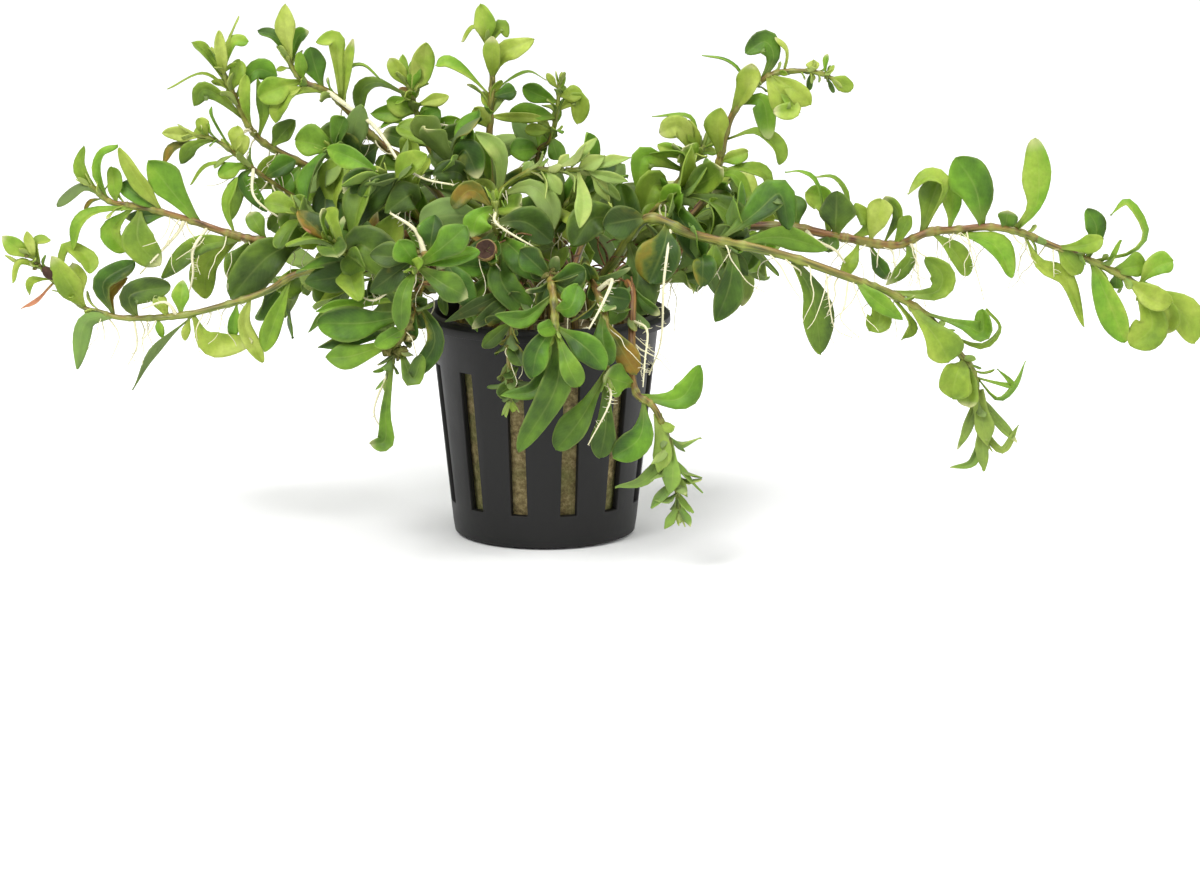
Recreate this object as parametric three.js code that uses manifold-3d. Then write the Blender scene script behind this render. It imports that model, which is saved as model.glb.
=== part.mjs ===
import * as THREE from 'three';
import { mergeVertices } from 'three/addons/utils/BufferGeometryUtils.js';
import Module from 'manifold-3d';

const wasm = await Module();
wasm.setup();

// A sprawling marsh plant in a slotted net pot. Millimetres, +Z up, -Y is the front, and the
// origin is the middle of the pot's foot.

// Net pot
const POT_HEIGHT = 45;
const RIM_RADIUS = 25;
const RIM_DROP = 2.4;
const WALL_TOP_RADIUS = 22.6;
const FOOT_RADIUS = 18;
const WALL = 1.3;
const FLOOR = 1.6;
const POT_FACETS = 24;
const SIDE_SLOTS = 12;
const SIDE_SLOT_WIDTH = 3.2;
const SIDE_SLOT_LOW = 7;
const SIDE_SLOT_HIGH = 35;
const FLOOR_SLOTS = 6;
const FLOOR_SLOT_WIDTH = 3;
const FLOOR_SLOT_INNER = 6;
const FLOOR_SLOT_OUTER = 14.5;

// Mineral wool plug
const WOOL_TOP = 42.4;
const WOOL_DOME = 0.9;
const WOOL_FACETS = 20;

// Gap kept between two pieces that touch, and the room that a leaf leaves round another shoot
const GAP = 0.3;
const ROOM = 0.5;

// Finest detail kept where solids are joined
const FINEST = 0.18;

// Stems, leaves and roots
const STEM_SIDES = 4;
const STEM_STEP = 12;
const ROOT_SIDES = 3;
const ROOT_STEP = 8;
const LEAF_LEAST_WIDTH = 3.6;
const LEAF_THIN = 0.55;
const LEAF_AGE_THICKENS = 0.2;
const LEAF_BOW = 0.12;
const LEAF_ROOTED = 1.6;
const LEAF_STEP = 11;
const LEAF_STATIONS = [
  [[0.6, 1]],
  [[0.42, 0.8], [0.82, 0.85]],
  [[0.3, 0.6], [0.6, 1], [0.88, 0.75]],
];
const WHORL_LEAVES = 3;
const WHORL_RISE = 40;
const WHORL_RISE_SPREAD = 64;
const WHORL_TURN_SPREAD = 70;
const WHORL_TURN = 52;

// Points on the plant are written as they are seen from in front: [right, up, back]. Right and
// up are measured on a plane through the pot's foot that faces an eye a metre away and a little
// above, and back is the true depth behind the pot's middle.
const EYE_ELEVATION = THREE.MathUtils.degToRad(12);
const EYE_DISTANCE = 1000;
const EYE_RIGHT = 11;
const EYE_UP = 19.1;

const upward = new THREE.Vector3(0, Math.sin(EYE_ELEVATION), Math.cos(EYE_ELEVATION));
const ahead = new THREE.Vector3(0, Math.cos(EYE_ELEVATION), -Math.sin(EYE_ELEVATION));
const eye = new THREE.Vector3(EYE_RIGHT, 0, 0)
  .addScaledVector(upward, EYE_UP)
  .addScaledVector(ahead, -EYE_DISTANCE);

function place([right, up, back]) {
  const ray = new THREE.Vector3(right, 0, 0).addScaledVector(upward, up).sub(eye);
  return eye.clone().addScaledVector(ray, (back - eye.y) / ray.y);
}

// The same plain draw of numbers from 0 to 1 on every run
let drawn = 7;
function draw() {
  drawn = (drawn * 16807) % 2147483647;
  return drawn / 2147483647;
}

// A closed three.js geometry as a solid, and a solid as a geometry with flat faces
function solidOf(geometry) {
  const bare = geometry.clone();
  bare.deleteAttribute('normal');
  bare.deleteAttribute('uv');
  const merged = mergeVertices(bare);
  return new wasm.Manifold(new wasm.Mesh({
    numProp: 3,
    vertProperties: new Float32Array(merged.attributes.position.array),
    triVerts: new Uint32Array(merged.index.array),
  }));
}

function geometryOf(solid) {
  const mesh = solid.getMesh();
  const geometry = new THREE.BufferGeometry();
  geometry.setAttribute('position', new THREE.BufferAttribute(mesh.vertProperties, 3));
  geometry.setIndex(new THREE.BufferAttribute(mesh.triVerts, 1));
  geometry.computeVertexNormals();
  return geometry;
}

// A straight extrusion one unit long, moved so that its length follows a line: frameAt(t) gives
// the middle, the two directions across and the two half sizes at t from 0 to 1.
function bent(section, steps, frameAt) {
  const geometry = new THREE.ExtrudeGeometry(section, { depth: 1, steps, bevelEnabled: false });
  const position = geometry.attributes.position;
  const frames = Array.from({ length: steps + 1 }, (_, i) => frameAt(i / steps));
  const point = new THREE.Vector3();
  for (let i = 0; i < position.count; i += 1) {
    const frame = frames[Math.round(position.getZ(i) * steps)];
    point.copy(frame.middle)
      .addScaledVector(frame.across, position.getX(i) * frame.halfWidth)
      .addScaledVector(frame.normal, position.getY(i) * frame.halfHeight);
    position.setXYZ(i, point.x, point.y, point.z);
  }
  return solidOf(geometry);
}

function polygon(sides) {
  const points = Array.from({ length: sides }, (_, i) => {
    const angle = (2 * Math.PI * i) / sides;
    return new THREE.Vector2(Math.cos(angle), Math.sin(angle));
  });
  return new THREE.Shape(points);
}

const stemSection = polygon(STEM_SIDES);
const rootSection = polygon(ROOT_SIDES);

// The level axis that a curve runs less along, so that what is turned from it never flips over
function axisAcross(curve) {
  const run = curve.getPoint(1).sub(curve.getPoint(0));
  return Math.abs(run.x) < Math.abs(run.y) ? new THREE.Vector3(1, 0, 0) : new THREE.Vector3(0, 1, 0);
}

// Two directions square to a tangent, the first of them square to the axis as well
function squareTo(tangent, axis) {
  const first = axis.clone().cross(tangent).normalize();
  return [first, tangent.clone().cross(first).normalize()];
}

// A stem or root: a tapered tube along a smooth curve
function tube(section, curve, startRadius, endRadius, step, extra = 0) {
  const steps = Math.max(2, Math.round(curve.getLength() / step));
  const axis = axisAcross(curve);
  return bent(section, steps, (t) => {
    const [across, normal] = squareTo(curve.getTangent(t), axis);
    const radius = THREE.MathUtils.lerp(startRadius, endRadius, t) + extra;
    return { middle: curve.getPoint(t), across, normal, halfWidth: radius, halfHeight: radius };
  });
}

// A closed skin over a row of three-cornered rings, with a single point at each end
function skin(rings) {
  const vertices = [];
  const faces = [];
  const first = rings.map((ring) => vertices.push(...ring) - ring.length);
  for (let i = 0; i + 1 < rings.length; i += 1) {
    for (let j = 0; j < 3; j += 1) {
      const k = (j + 1) % 3;
      if (rings[i].length > 1) {
        faces.push(first[i] + j, first[i] + k, first[i + 1] + (k % rings[i + 1].length));
      }
      if (rings[i + 1].length > 1) {
        faces.push(first[i] + (j % rings[i].length), first[i + 1] + k, first[i + 1] + j);
      }
    }
  }
  const geometry = new THREE.BufferGeometry().setFromPoints(vertices);
  geometry.setIndex(faces);
  return solidOf(geometry);
}

// A leaf blade along its midrib: flat on top, keeled below, widest past the middle. extra makes
// it fatter all round, to cut its room in others.
function blade(midrib, normalAt, width, age, extra = 0) {
  const stations = LEAF_STATIONS[Math.min(2, Math.floor(midrib.getLength() / LEAF_STEP))];
  const thickness = LEAF_THIN + LEAF_AGE_THICKENS * age;
  const rings = stations.map(([t, share]) => {
    const middle = midrib.getPoint(t);
    const tangent = midrib.getTangent(t);
    const normal = normalAt(t, tangent);
    const across = normal.clone().cross(tangent).normalize();
    const reach = (width / 2) * share + extra * 2;
    const above = middle.clone().addScaledVector(normal, extra * 0.6);
    return [
      above.clone().addScaledVector(across, -reach),
      middle.clone().addScaledVector(normal, -thickness - extra * 2),
      above.clone().addScaledVector(across, reach),
    ];
  });
  return skin([[midrib.getPoint(0)], ...rings, [midrib.getPoint(1)]]);
}

// A leaf starts a little down the stem from its station, inside the stem
function leafBase(stem, station) {
  const t = stem.shareAt(station);
  return stem.getPoint(t).addScaledVector(stem.getTangent(t), -LEAF_ROOTED);
}

// A leaf placed by hand: [station on the stem, width, turn, age, point, ...]. Turn 0 shows the
// blade's face to the front, 90 turns the face to the left of the way that the leaf runs and
// -90 to its right. Age runs from 0 for a young leaf to 1 for an old one, and past 1 withers.
function placedLeaf(stem, [station, width, turn, age, ...points], extra) {
  const base = leafBase(stem, station);
  const turned = THREE.MathUtils.degToRad(turn);
  const normalAt = (t, tangent) => {
    const facing = ahead.clone().negate().addScaledVector(tangent, ahead.dot(tangent)).normalize();
    const sideways = facing.clone().cross(tangent);
    return facing.multiplyScalar(Math.cos(turned)).addScaledVector(sideways, Math.sin(turned));
  };
  const path = [base, ...points.map(place)];
  if (path.length === 2) {
    const run = path[1].clone().sub(base);
    const bow = normalAt(0, run.clone().normalize()).multiplyScalar(LEAF_BOW * run.length());
    path.splice(1, 0, base.clone().addScaledVector(run, 0.5).add(bow));
  }
  return blade(new THREE.CatmullRomCurve3(path, false, 'catmullrom'), normalAt, width, age, extra);
}

// The leaves round one node of a stem, their faces to the stem's tip
function whorl(stem, station, length, width, turn) {
  const base = leafBase(stem, station);
  const along = stem.getTangent(stem.shareAt(station));
  const [first, second] = squareTo(along, axisAcross(stem));
  return Array.from({ length: WHORL_LEAVES }, (_, i) => {
    const stray = WHORL_TURN_SPREAD * (draw() - 0.5);
    const angle = THREE.MathUtils.degToRad(turn + (360 * i) / WHORL_LEAVES + stray);
    const rise = THREE.MathUtils.degToRad(WHORL_RISE + WHORL_RISE_SPREAD * (draw() - 0.5));
    const reach = length * (0.7 + 0.6 * draw());
    const outward = first.clone().multiplyScalar(Math.cos(angle))
      .addScaledVector(second, Math.sin(angle));
    const run = outward.clone().multiplyScalar(Math.cos(rise)).addScaledVector(along, Math.sin(rise));
    const face = along.clone().multiplyScalar(Math.cos(rise)).addScaledVector(outward, -Math.sin(rise));
    const middle = base.clone().addScaledVector(run, reach * 0.5).addScaledVector(face, reach * LEAF_BOW);
    const tip = base.clone().addScaledVector(run, reach);
    const midrib = new THREE.CatmullRomCurve3([base, middle, tip], false, 'catmullrom');
    const side = run.clone().cross(face).normalize();
    const normalAt = (t, tangent) => side.clone().cross(tangent).normalize();
    return { midrib, normalAt, width: width * (0.8 + 0.4 * draw()), age: 0.8 };
  });
}

// Every shoot: its stem's route from the wool to its tip, its stem's radius at both ends, its
// leaves placed by hand, its whorls as [station, leaf length, leaf width] and its roots as
// [station, radius, point, ...].
const shoots = {
  left_low: {
    route: [[-12, 48, -4], [-22, 50, -10], [-36, 54, -16], [-49, 51.4, -18], [-55.6, 47.8, -18],
      [-64, 45, -17], [-73.5, 42.8, -16], [-84, 42.4, -14], [-89, 43.6, -13], [-93, 45, -12],
      [-99.8, 51.4, -12], [-103, 55.5, -12]],
    radii: [1.3, 0.6],
    leaves: [
      [11, 3.6, 10, 0.2, [-108.6, 58.6, -12]],
      [11, 2.4, 20, 0.1, [-103.6, 59.6, -14]],
      [10.9, 1.6, 60, 0.2, [-108, 54.8, -10]],
      [10.5, 2.4, -50, 0.3, [-105, 53.6, -13], [-106.4, 49.4, -14]],
      [10, 1.8, -30, 0.4, [-102.5, 49.8, -14], [-103.2, 47, -14]],
      [10.6, 2.6, 40, 0.4, [-101.8, 57.4, -12], [-99, 58, -12]],
      [9, 5, 0, 0.5, [-98.6, 54.8, -15]],
      [9.2, 4.8, 0, 0.35, [-94.6, 53.4, -10]],
      [9.8, 4, 30, 0.3, [-96, 56.8, -11], [-91.5, 54.6, -12], [-91, 51.4, -13]],
      [9.9, 0.9, 0, 1.8, [-101.5, 46, -13], [-104.8, 44.2, -14]],
      [7.7, 4.6, 15, 1, [-88.4, 49.5, -13], [-82, 53.6, -12]],
      [7.7, 3, 0, 1.4, [-87, 47.5, -12], [-83.5, 50.5, -11]],
      [6.9, 5.4, 10, 1, [-83, 47, -15], [-75, 48.8, -14]],
      [7.7, 3.8, 190, 0.55, [-92, 41.4, -14], [-93.6, 32.2, -15]],
      [5.8, 3.4, 245, 0.9, [-77, 37, -17], [-82.6, 28, -18]],
      [5.85, 4.8, -10, 0.35, [-67, 37.8, -18], [-58.4, 37.8, -18]],
      [6.5, 1.8, 0, 0.4, [-76.6, 38.4, -16]],
      [5.9, 1.8, 0, 0.3, [-72, 37.8, -16]],
      [4.6, 3.4, 20, 0, [-60, 41, -18], [-56.4, 33.6, -18]],
      [4.9, 2.6, 0, 0.5, [-62.6, 38.2, -17]],
      [3.4, 4.2, 0, 0.5, [-54, 42, -19], [-56.2, 35.8, -19]],
      [6.3, 3, 0, 0.3, [-78, 46.8, -15]],
      [6.1, 3.4, 0, 0.35, [-72.4, 50, -14]],
      [2.2, 5, 10, 1, [-45, 57, -17]],
      [2.8, 6.5, 0, 1, [-42, 45.5, -19]],
      [1.6, 6.5, 0, 1, [-35, 46, -18]],
    ],
    whorls: [],
    roots: [[6.8, 0.3, [-81.6, 37, -15], [-83.4, 33, -15]], [6, 0.5, [-76, 45.6, -17], [-80.6, 44.2, -17]]],
  },
  left_middle: {
    route: [[-7, 48, 6], [-18, 55, 2], [-34, 59, -4], [-48, 57.5, -8], [-57.4, 58, -9],
      [-63.6, 59.4, -9], [-70, 61.6, -9], [-76.8, 63.6, -9], [-82.6, 64.8, -9], [-87.2, 65.8, -9],
      [-91, 69, -9]],
    radii: [1.4, 0.8],
    leaves: [
      [9, 3.2, 140, 1, [-92, 68.8, -9], [-97.6, 64.8, -9]],
      [9.5, 2.6, 10, 0.5, [-92.8, 72, -9], [-92.2, 76.8, -10]],
      [9.3, 3, 40, 0.4, [-89.6, 71, -10], [-88.8, 75.5, -11], [-85.4, 76.8, -11]],
      [9, 3.2, 0, 0.4, [-86.6, 72.6, -8]],
      [7.2, 3.8, 25, 0.3, [-81.5, 70, -11], [-85.2, 76.4, -12]],
      [7.3, 4, 0, 0.8, [-84.8, 69.4, -8]],
      [6.1, 6.4, 10, 0.5, [-74.5, 67.5, -10], [-79.4, 73.8, -11]],
      [7.9, 3.6, -45, 0.35, [-89.5, 64, -11], [-93.8, 61, -12], [-94.6, 55.6, -12]],
      [8, 6.8, 0, 0.65, [-81.4, 58, -12], [-77.2, 52.8, -12]],
      [8.2, 4, 0, 0.25, [-86.6, 60, -10], [-84, 55.5, -10]],
      [7, 3, 0, 0.9, [-84, 62.4, -8]],
      [4.6, 4.4, -10, 0.85, [-70, 56.4, -11], [-76.6, 50.4, -11]],
      [4.8, 5.6, 5, 0.45, [-67.4, 53.5, -7], [-68, 46.4, -7]],
      [4.3, 7, 0, 1, [-63, 50, -11]],
      [3.1, 8.4, 10, 1, [-55, 55, -14], [-63, 46.4, -14]],
      [5, 2.6, 30, 0.45, [-63.8, 65, -8], [-61.6, 70.5, -7]],
      [3, 6, 0, 1, [-53, 64, -10]],
      [2.4, 6, 0, 0.9, [-42, 66, -8]],
      [2, 7, 10, 1, [-38, 52, -10]],
      [1.6, 6, 0, 1, [-30, 66, -6]],
    ],
    whorls: [],
    roots: [
      [6.3, 0.55, [-73.4, 59.5, -10], [-77, 55.5, -12], [-81, 51.2, -12]],
      [5.6, 0.5, [-70.4, 56, -12], [-70.4, 51, -12], [-71.8, 45.4, -12]],
    ],
  },
  upper_left: {
    route: [[-10, 48, 12], [-22, 56, 14], [-38, 68, 12], [-50, 74, 10], [-56.2, 77.4, 9],
      [-59.4, 81, 8], [-62, 86.4, 8], [-63.6, 89.4, 8], [-65.2, 94, 8]],
    radii: [1.3, 0.8],
    leaves: [
      [7.3, 3, -45, 0.6, [-67.6, 95.5, 7], [-70.6, 97.6, 7]],
      [7.6, 2.6, 0, 0.1, [-65.2, 99.8, 5]],
      [8, 1.4, 60, 0.3, [-63, 98.6, 8], [-61.2, 102.8, 9]],
      [7.8, 3, 30, 0.25, [-62.6, 97.5, 7], [-59.4, 97.6, 7]],
      [7, 1.8, -70, 0.4, [-68.5, 91.4, 6], [-75.6, 88.2, 5]],
      [5.5, 4, 10, 0.7, [-65.4, 87, 6], [-68.6, 88, 5], [-70, 84.8, 5]],
      [6.9, 3.6, 0, 0.5, [-61, 94, 8]],
      [5, 2.6, 10, 0.2, [-60, 86, 6], [-59.8, 91, 6]],
      [6.4, 4.4, 10, 0.75, [-58, 92, 9], [-53.6, 91, 9]],
      [4.6, 2.8, 20, 0.7, [-56.4, 84, 7], [-57.6, 90.5, 7]],
      [3.6, 4, 0, 0.6, [-57, 70, 8]],
      [3, 5, 0, 0.9, [-54, 66, 8]],
      [4, 4, 0, 0.85, [-50, 82, 8]],
    ],
    whorls: [[1.4, 12, 5], [2.1, 12, 5]],
    roots: [[4.5, 0.4, [-60, 80, 7], [-62.4, 76, 7]]],
  },
  small_left: {
    route: [[-15, 48, 6], [-30, 56, 10], [-46, 64, 6], [-56, 70.5, 3], [-61, 74.4, 2],
      [-66, 78, 1], [-71, 79, 0]],
    radii: [1, 0.5],
    leaves: [
      [5.7, 3, 5, 0.1, [-76.6, 79.4, 0]],
      [5.6, 2.8, 0, 0.4, [-69.4, 82.4, 0]],
      [5.2, 2.8, -45, 1.3, [-74, 76.8, 0], [-76.8, 72.6, 0]],
      [5.3, 3, 10, 0.8, [-70.6, 76.6, -1], [-72.8, 73.2, -1]],
      [4.6, 1.4, 60, 0.5, [-66.6, 82.6, 1], [-66.8, 84.6, 1]],
      [4.5, 3, 0, 0.2, [-61.6, 80.8, 2]],
      [3.8, 1.4, -60, 0.4, [-67, 73.2, 0], [-71, 69, -1]],
      [4, 3.4, 0, 0.25, [-65.4, 70.8, 0]],
      [4.2, 3, 0, 0.2, [-60, 79, 0]],
      [3.2, 4.4, 0, 0.8, [-50, 74, 2]],
      [2.8, 4, 0, 0.7, [-61, 69, 2], [-63, 62, 1]],
      [2.4, 5, 0, 0.8, [-55, 60, 3]],
    ],
    whorls: [[1.2, 11, 5]],
    roots: [[3.4, 0.5, [-58, 66.4, -6], [-51, 61, -8]]],
  },
  upper_left_arch: {
    route: [[-6, 48, 13.5], [-14, 58, 16], [-24, 70, 12], [-33, 77.4, 10], [-36.6, 81, 9],
      [-40.2, 84.6, 8], [-43.2, 87.6, 8], [-47.8, 89.4, 8], [-50.4, 92.2, 8], [-51.4, 95, 8]],
    radii: [1.3, 0.8],
    leaves: [
      [9, 4, 0, 0.1, [-52, 100, 6], [-52, 105.2, 6]],
      [8.8, 2.8, -40, 0.85, [-53.6, 98.5, 8], [-57.4, 99.8, 8]],
      [8.9, 3, 10, 0.7, [-49.6, 98.4, 9], [-47.4, 99.8, 9]],
      [6.6, 4.6, 0, 0.8, [-45.8, 92, 7], [-47, 96.6, 7]],
      [7.6, 2.6, 0, 0.4, [-49.2, 95.6, 6]],
      [5.6, 4, -30, 0.2, [-41.4, 94, 7], [-42, 98.2, 7], [-45.8, 97.6, 7]],
      [5.4, 2.6, 10, 0.2, [-40, 92, 8], [-38.4, 98.2, 8]],
      [5.3, 1.8, 70, 0.5, [-39.5, 91.6, 9], [-36.4, 93, 9], [-33, 90.2, 9]],
      [7.6, 5.8, 0, 0.3, [-53, 88.5, 6], [-57.4, 86.6, 5]],
      [6.4, 3.8, -30, 0.5, [-50.4, 87.8, 6], [-53.4, 84.4, 5], [-53.8, 81.4, 5]],
      [3.4, 5, 0, 0.95, [-40, 80, 8], [-45.6, 76, 8]],
      [3.2, 5.4, 0, 0.9, [-38.6, 72.6, 8]],
      [2.6, 5, 0, 1, [-26, 78, 9]],
    ],
    whorls: [[1.3, 12, 5], [2, 12, 5]],
    roots: [[6.1, 0.65, [-38.8, 84.2, 3], [-34.4, 81, -3], [-31.6, 77.4, -10], [-28.6, 73, -17],
      [-24, 70.2, -22], [-18.2, 69, -25]]],
  },
  top_left: {
    route: [[-2.5, 48, 10], [-10, 58, 18], [-18, 70, 16], [-23.5, 77, 14], [-25.4, 82.4, 13],
      [-26.4, 86.4, 12], [-27.6, 89.6, 12]],
    radii: [1.2, 0.6],
    leaves: [
      [6, 3.4, 0, 0.35, [-31, 94.4, 12]],
      [6, 1.8, 0, 0.4, [-28.6, 95, 13]],
      [5.8, 5, 0, 0, [-24.6, 91, 11], [-23.8, 97.4, 10]],
      [5.8, 3, 0, 0.5, [-26, 94, 12]],
      [5.4, 3.8, -35, 0.85, [-33, 89.6, 11], [-36.8, 88, 11], [-37.2, 83, 11]],
      [5, 2.8, 10, 0.25, [-19.2, 86.8, 12]],
      [4.6, 4.2, 0, 0.2, [-31.6, 86, 12]],
      [4.6, 3.8, 0, 0.7, [-34.8, 83.4, 13]],
      [4.2, 4.6, 0, 0.8, [-21, 84, 11]],
      [4, 2.8, 0, 0.5, [-16.6, 81.8, 13]],
      [3.8, 1.8, -50, 0.5, [-30, 82, 12], [-33, 80.4, 12]],
      [3.2, 4.6, 0, 1, [-32.4, 79.4, 11]],
      [2.8, 5, 0, 1, [-15, 78, 12]],
    ],
    whorls: [[1.3, 12, 5], [2, 12, 5]],
    roots: [[4, 0.3, [-20, 81, 11], [-14.4, 80.6, 11]]],
  },
  top_middle: {
    route: [[1, 48, 6], [-7, 56, 6], [-11, 70, 4], [-11, 82, 4], [-10.6, 88.2, 4],
      [-10.6, 91.8, 4], [-11.6, 98, 4]],
    radii: [1.3, 0.8],
    leaves: [
      [6, 4.2, 0, 0.15, [-12, 101, 3], [-12.8, 105.2, 3]],
      [6, 2.2, -60, 0.4, [-14, 100.6, 4], [-16.6, 97.6, 4]],
      [6, 3, 30, 0.6, [-8.8, 100.6, 4], [-7.4, 98.6, 4]],
      [5, 3.6, 0, 0.3, [-10.6, 98.6, 1]],
      [5.1, 4.4, 15, 0.2, [-8, 95.6, 3], [-2.2, 98.2, 3]],
      [4, 3, -40, 0.2, [-15, 91, 3], [-19.4, 93.8, 3], [-21.8, 93, 3]],
      [4, 3.4, 5, 0.85, [-5.8, 87.8, 3]],
      [4, 1.2, 70, 0.5, [-8, 89.6, 5], [-3.4, 91.8, 6], [0.4, 90, 6]],
      [3, 3.8, 5, 0.3, [-14.2, 84.4, 2]],
      [2, 4.4, 10, 0.7, [-13, 76, 0], [-17, 78, 0]],
      [2.6, 4.6, 0, 1, [-17, 79, 5], [-22, 75, 5]],
      [2.2, 4.4, 0, 0.8, [-18, 72, 5]],
    ],
    whorls: [[1.2, 12, 5], [1.7, 12, 5]],
    roots: [],
  },
  top_small: {
    route: [[7, 48, 11], [2, 58, 16], [-1.6, 74, 15], [1, 78, 13], [2.4, 83.6, 12], [2.8, 89.6, 12]],
    radii: [1.1, 0.5],
    leaves: [
      [5, 1.6, 0, 0.3, [0.4, 91.4, 12]],
      [5, 1.4, 0, 0.3, [4, 91, 12]],
      [4.6, 3.8, 10, 0.5, [-4.4, 88.4, 11]],
      [4.1, 4.2, 0, 0.45, [-7, 83.4, 10]],
      [4, 2.2, 0, 0.3, [-10.4, 82.8, 9]],
      [4.8, 3.6, 0, 0.3, [7.6, 87.2, 11]],
      [4.3, 3.8, 0, 0.4, [6.4, 86, 11], [6.6, 81.2, 11]],
      [3.4, 3.8, 0, 0.7, [2.6, 74, 11]],
      [2.6, 5, 0, 0.8, [-7, 76, 10]],
      [3.6, 2.8, 0, 1.2, [-4, 80, 11]],
    ],
    whorls: [[1.3, 12, 5], [1.9, 12, 5]],
    roots: [],
  },
  pale_right: {
    route: [[3, 48, -2], [-5, 56, -6], [-9, 66.5, -10], [-3.2, 71.6, -13], [2, 72, -14],
      [7, 72, -14], [10.5, 72, -14]],
    radii: [1.2, 0.7],
    leaves: [
      [5.6, 2.6, 20, 0.3, [10.2, 78, -15]],
      [5.8, 4.6, 0, 0.35, [11.4, 74.6, -15]],
      [6, 2.8, 15, 0.35, [17.2, 74.6, -14]],
      [6, 3, -15, 0.45, [16.6, 69.6, -15]],
      [5.6, 2.8, 10, 0.4, [7.6, 66, -16], [7.2, 60.8, -17]],
      [2.2, 6.2, 10, 0.5, [-3, 69, -15], [1.2, 65, -17], [1.6, 59.6, -18]],
      [2.1, 4.6, 10, 0.35, [-9, 75, -13], [-14, 79.6, -13]],
      [4, 4, 0, 0.3, [3, 67, -16]],
      [3, 3.2, 0, 0.5, [-2.6, 73.8, -12]],
      [4.3, 2.4, 0, 0.2, [4.8, 75.2, -13]],
      [6, 3.2, 0, 0.4, [13, 65.6, -13]],
      [6, 2.8, 0, 0.5, [15, 66, -12]],
    ],
    whorls: [[1.4, 11, 5]],
    roots: [],
  },
  right_top_arch: {
    route: [[13.5, 48, 4.5], [22, 56, 6], [32, 66, 6], [34.4, 72, 6], [35.4, 76, 6], [37, 82, 6],
      [40, 87, 6], [43, 89.6, 6], [46.2, 91.4, 6], [51.6, 91.8, 6], [55.4, 91.2, 6], [58, 90, 6]],
    radii: [1.4, 0.6],
    leaves: [
      [4, 4.8, 0, 0.4, [34.6, 80, 3], [35, 84.4, 3]],
      [5.4, 5, 0, 0.35, [40.6, 88.6, 4], [41.4, 93.2, 4]],
      [5.6, 1.6, -70, 0.4, [39.4, 90.4, 6], [36.6, 93.8, 6], [31.4, 95, 6]],
      [7.6, 5, -15, 0.8, [45.8, 94.6, 6], [44, 97.8, 6], [40, 95.4, 6]],
      [8.6, 1.8, -60, 0.25, [48.4, 95.8, 6], [46, 98.6, 6]],
      [5.9, 4.2, 0, 0.55, [43.4, 86, 4], [45, 78.2, 3]],
      [8, 6, 0, 0.3, [47, 87.5, 3], [51, 83.6, 3]],
      [8.1, 4.4, 0, 0.25, [50, 88, 2], [53, 85, 2]],
      [8, 3.6, 0, 0.15, [50, 84.4, 1], [45.8, 83.6, 1]],
      [4.6, 4.2, 45, 0.4, [42, 79.8, 5], [46, 77, 4], [47, 73, 4]],
      [10, 2.8, 0, 0, [53.6, 94, 6]],
      [10.8, 1.2, 30, 0.4, [56.4, 95.2, 6]],
      [11, 1, 0, 0.3, [57.8, 93, 6]],
      [10.9, 1, 0, 0.9, [57.8, 87.4, 6]],
      [11, 3.2, 0, 0.3, [61.6, 88.2, 6]],
      [9.8, 1.4, 0, 0.9, [52.8, 88, 5]],
      [3.8, 3.2, 0, 0.1, [40.6, 75.6, 5]],
      [3.4, 3.6, 40, 0.45, [40, 72.6, 4], [44.4, 71, 4], [44.4, 66, 4]],
      [3, 2.8, 30, 0.5, [38, 71, 3], [41.6, 65, 3]],
    ],
    whorls: [[1.4, 12, 5], [2.1, 12, 5]],
    roots: [],
  },
  yellow_tuft: {
    route: [[10.5, 48, 7], [16, 56, 10], [24, 66, 9], [29, 73, 8], [32, 77, 8]],
    radii: [1.2, 0.7],
    leaves: [
      [3, 4.8, 0, 0.3, [20, 74.8, 5], [18.8, 67.6, 4]],
      [4, 1.4, -60, 0.5, [29, 82.6, 8], [21.4, 82.8, 8]],
      [4, 2.8, 0, 0.7, [28.8, 82, 7]],
      [3.7, 4.8, 0, 0.05, [27, 80.6, 6], [23, 79.4, 6]],
      [3.6, 3, 0, 0.1, [22.6, 77, 5]],
      [3.5, 5.4, 0, 0.3, [27.8, 76.4, 4]],
      [3, 3, 60, 0.8, [27, 75, 4], [21, 75.2, 4]],
      [2.4, 6.6, 0, 0.85, [22, 69, 3], [19.5, 63.6, 2]],
      [2.8, 3.2, 0, 0.9, [29.6, 69.6, 5]],
      [2.2, 3.8, 0, 0.4, [22.4, 70.4, 4]],
      [2, 6, 0, 0.9, [28, 61, 3]],
    ],
    whorls: [[1.2, 12, 5], [1.7, 12, 5]],
    roots: [],
  },
  right_long_low: {
    route: [[10, 48, -8], [14, 54, -14], [20.2, 62.2, -18], [28.6, 59.4, -20], [34.8, 57.8, -20],
      [42.8, 56.2, -20], [50.8, 54, -20], [59.4, 51, -20], [64.8, 49, -20], [70.2, 46.8, -20],
      [76.6, 42.6, -20], [82.8, 35.4, -20], [85.6, 31.4, -20], [86.6, 25, -20], [87.6, 18, -20]],
    radii: [1.6, 0.9],
    leaves: [
      [2.2, 6.8, 0, 1.08, [11.6, 61, -21]],
      [2.7, 9, 0, 1.1, [23.6, 56, -23], [20.8, 49.4, -24]],
      [1.6, 8.5, 0, 1.05, [18.6, 50, -22], [16, 43.6, -22]],
      [4.1, 3.8, 0, 0.8, [33.6, 51.6, -21]],
      [4.6, 5.6, 10, 0.95, [37, 49, -22], [34.2, 41.6, -22]],
      [4.2, 6.6, 20, 0.85, [42, 63.4, -18], [47, 67.4, -17], [48.8, 60, -17]],
      [6, 6, 5, 0.95, [53.6, 46.6, -20], [55.2, 35.2, -20]],
      [8.2, 5, 0, 0.55, [67, 43, -20], [65, 39.8, -21]],
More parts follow.
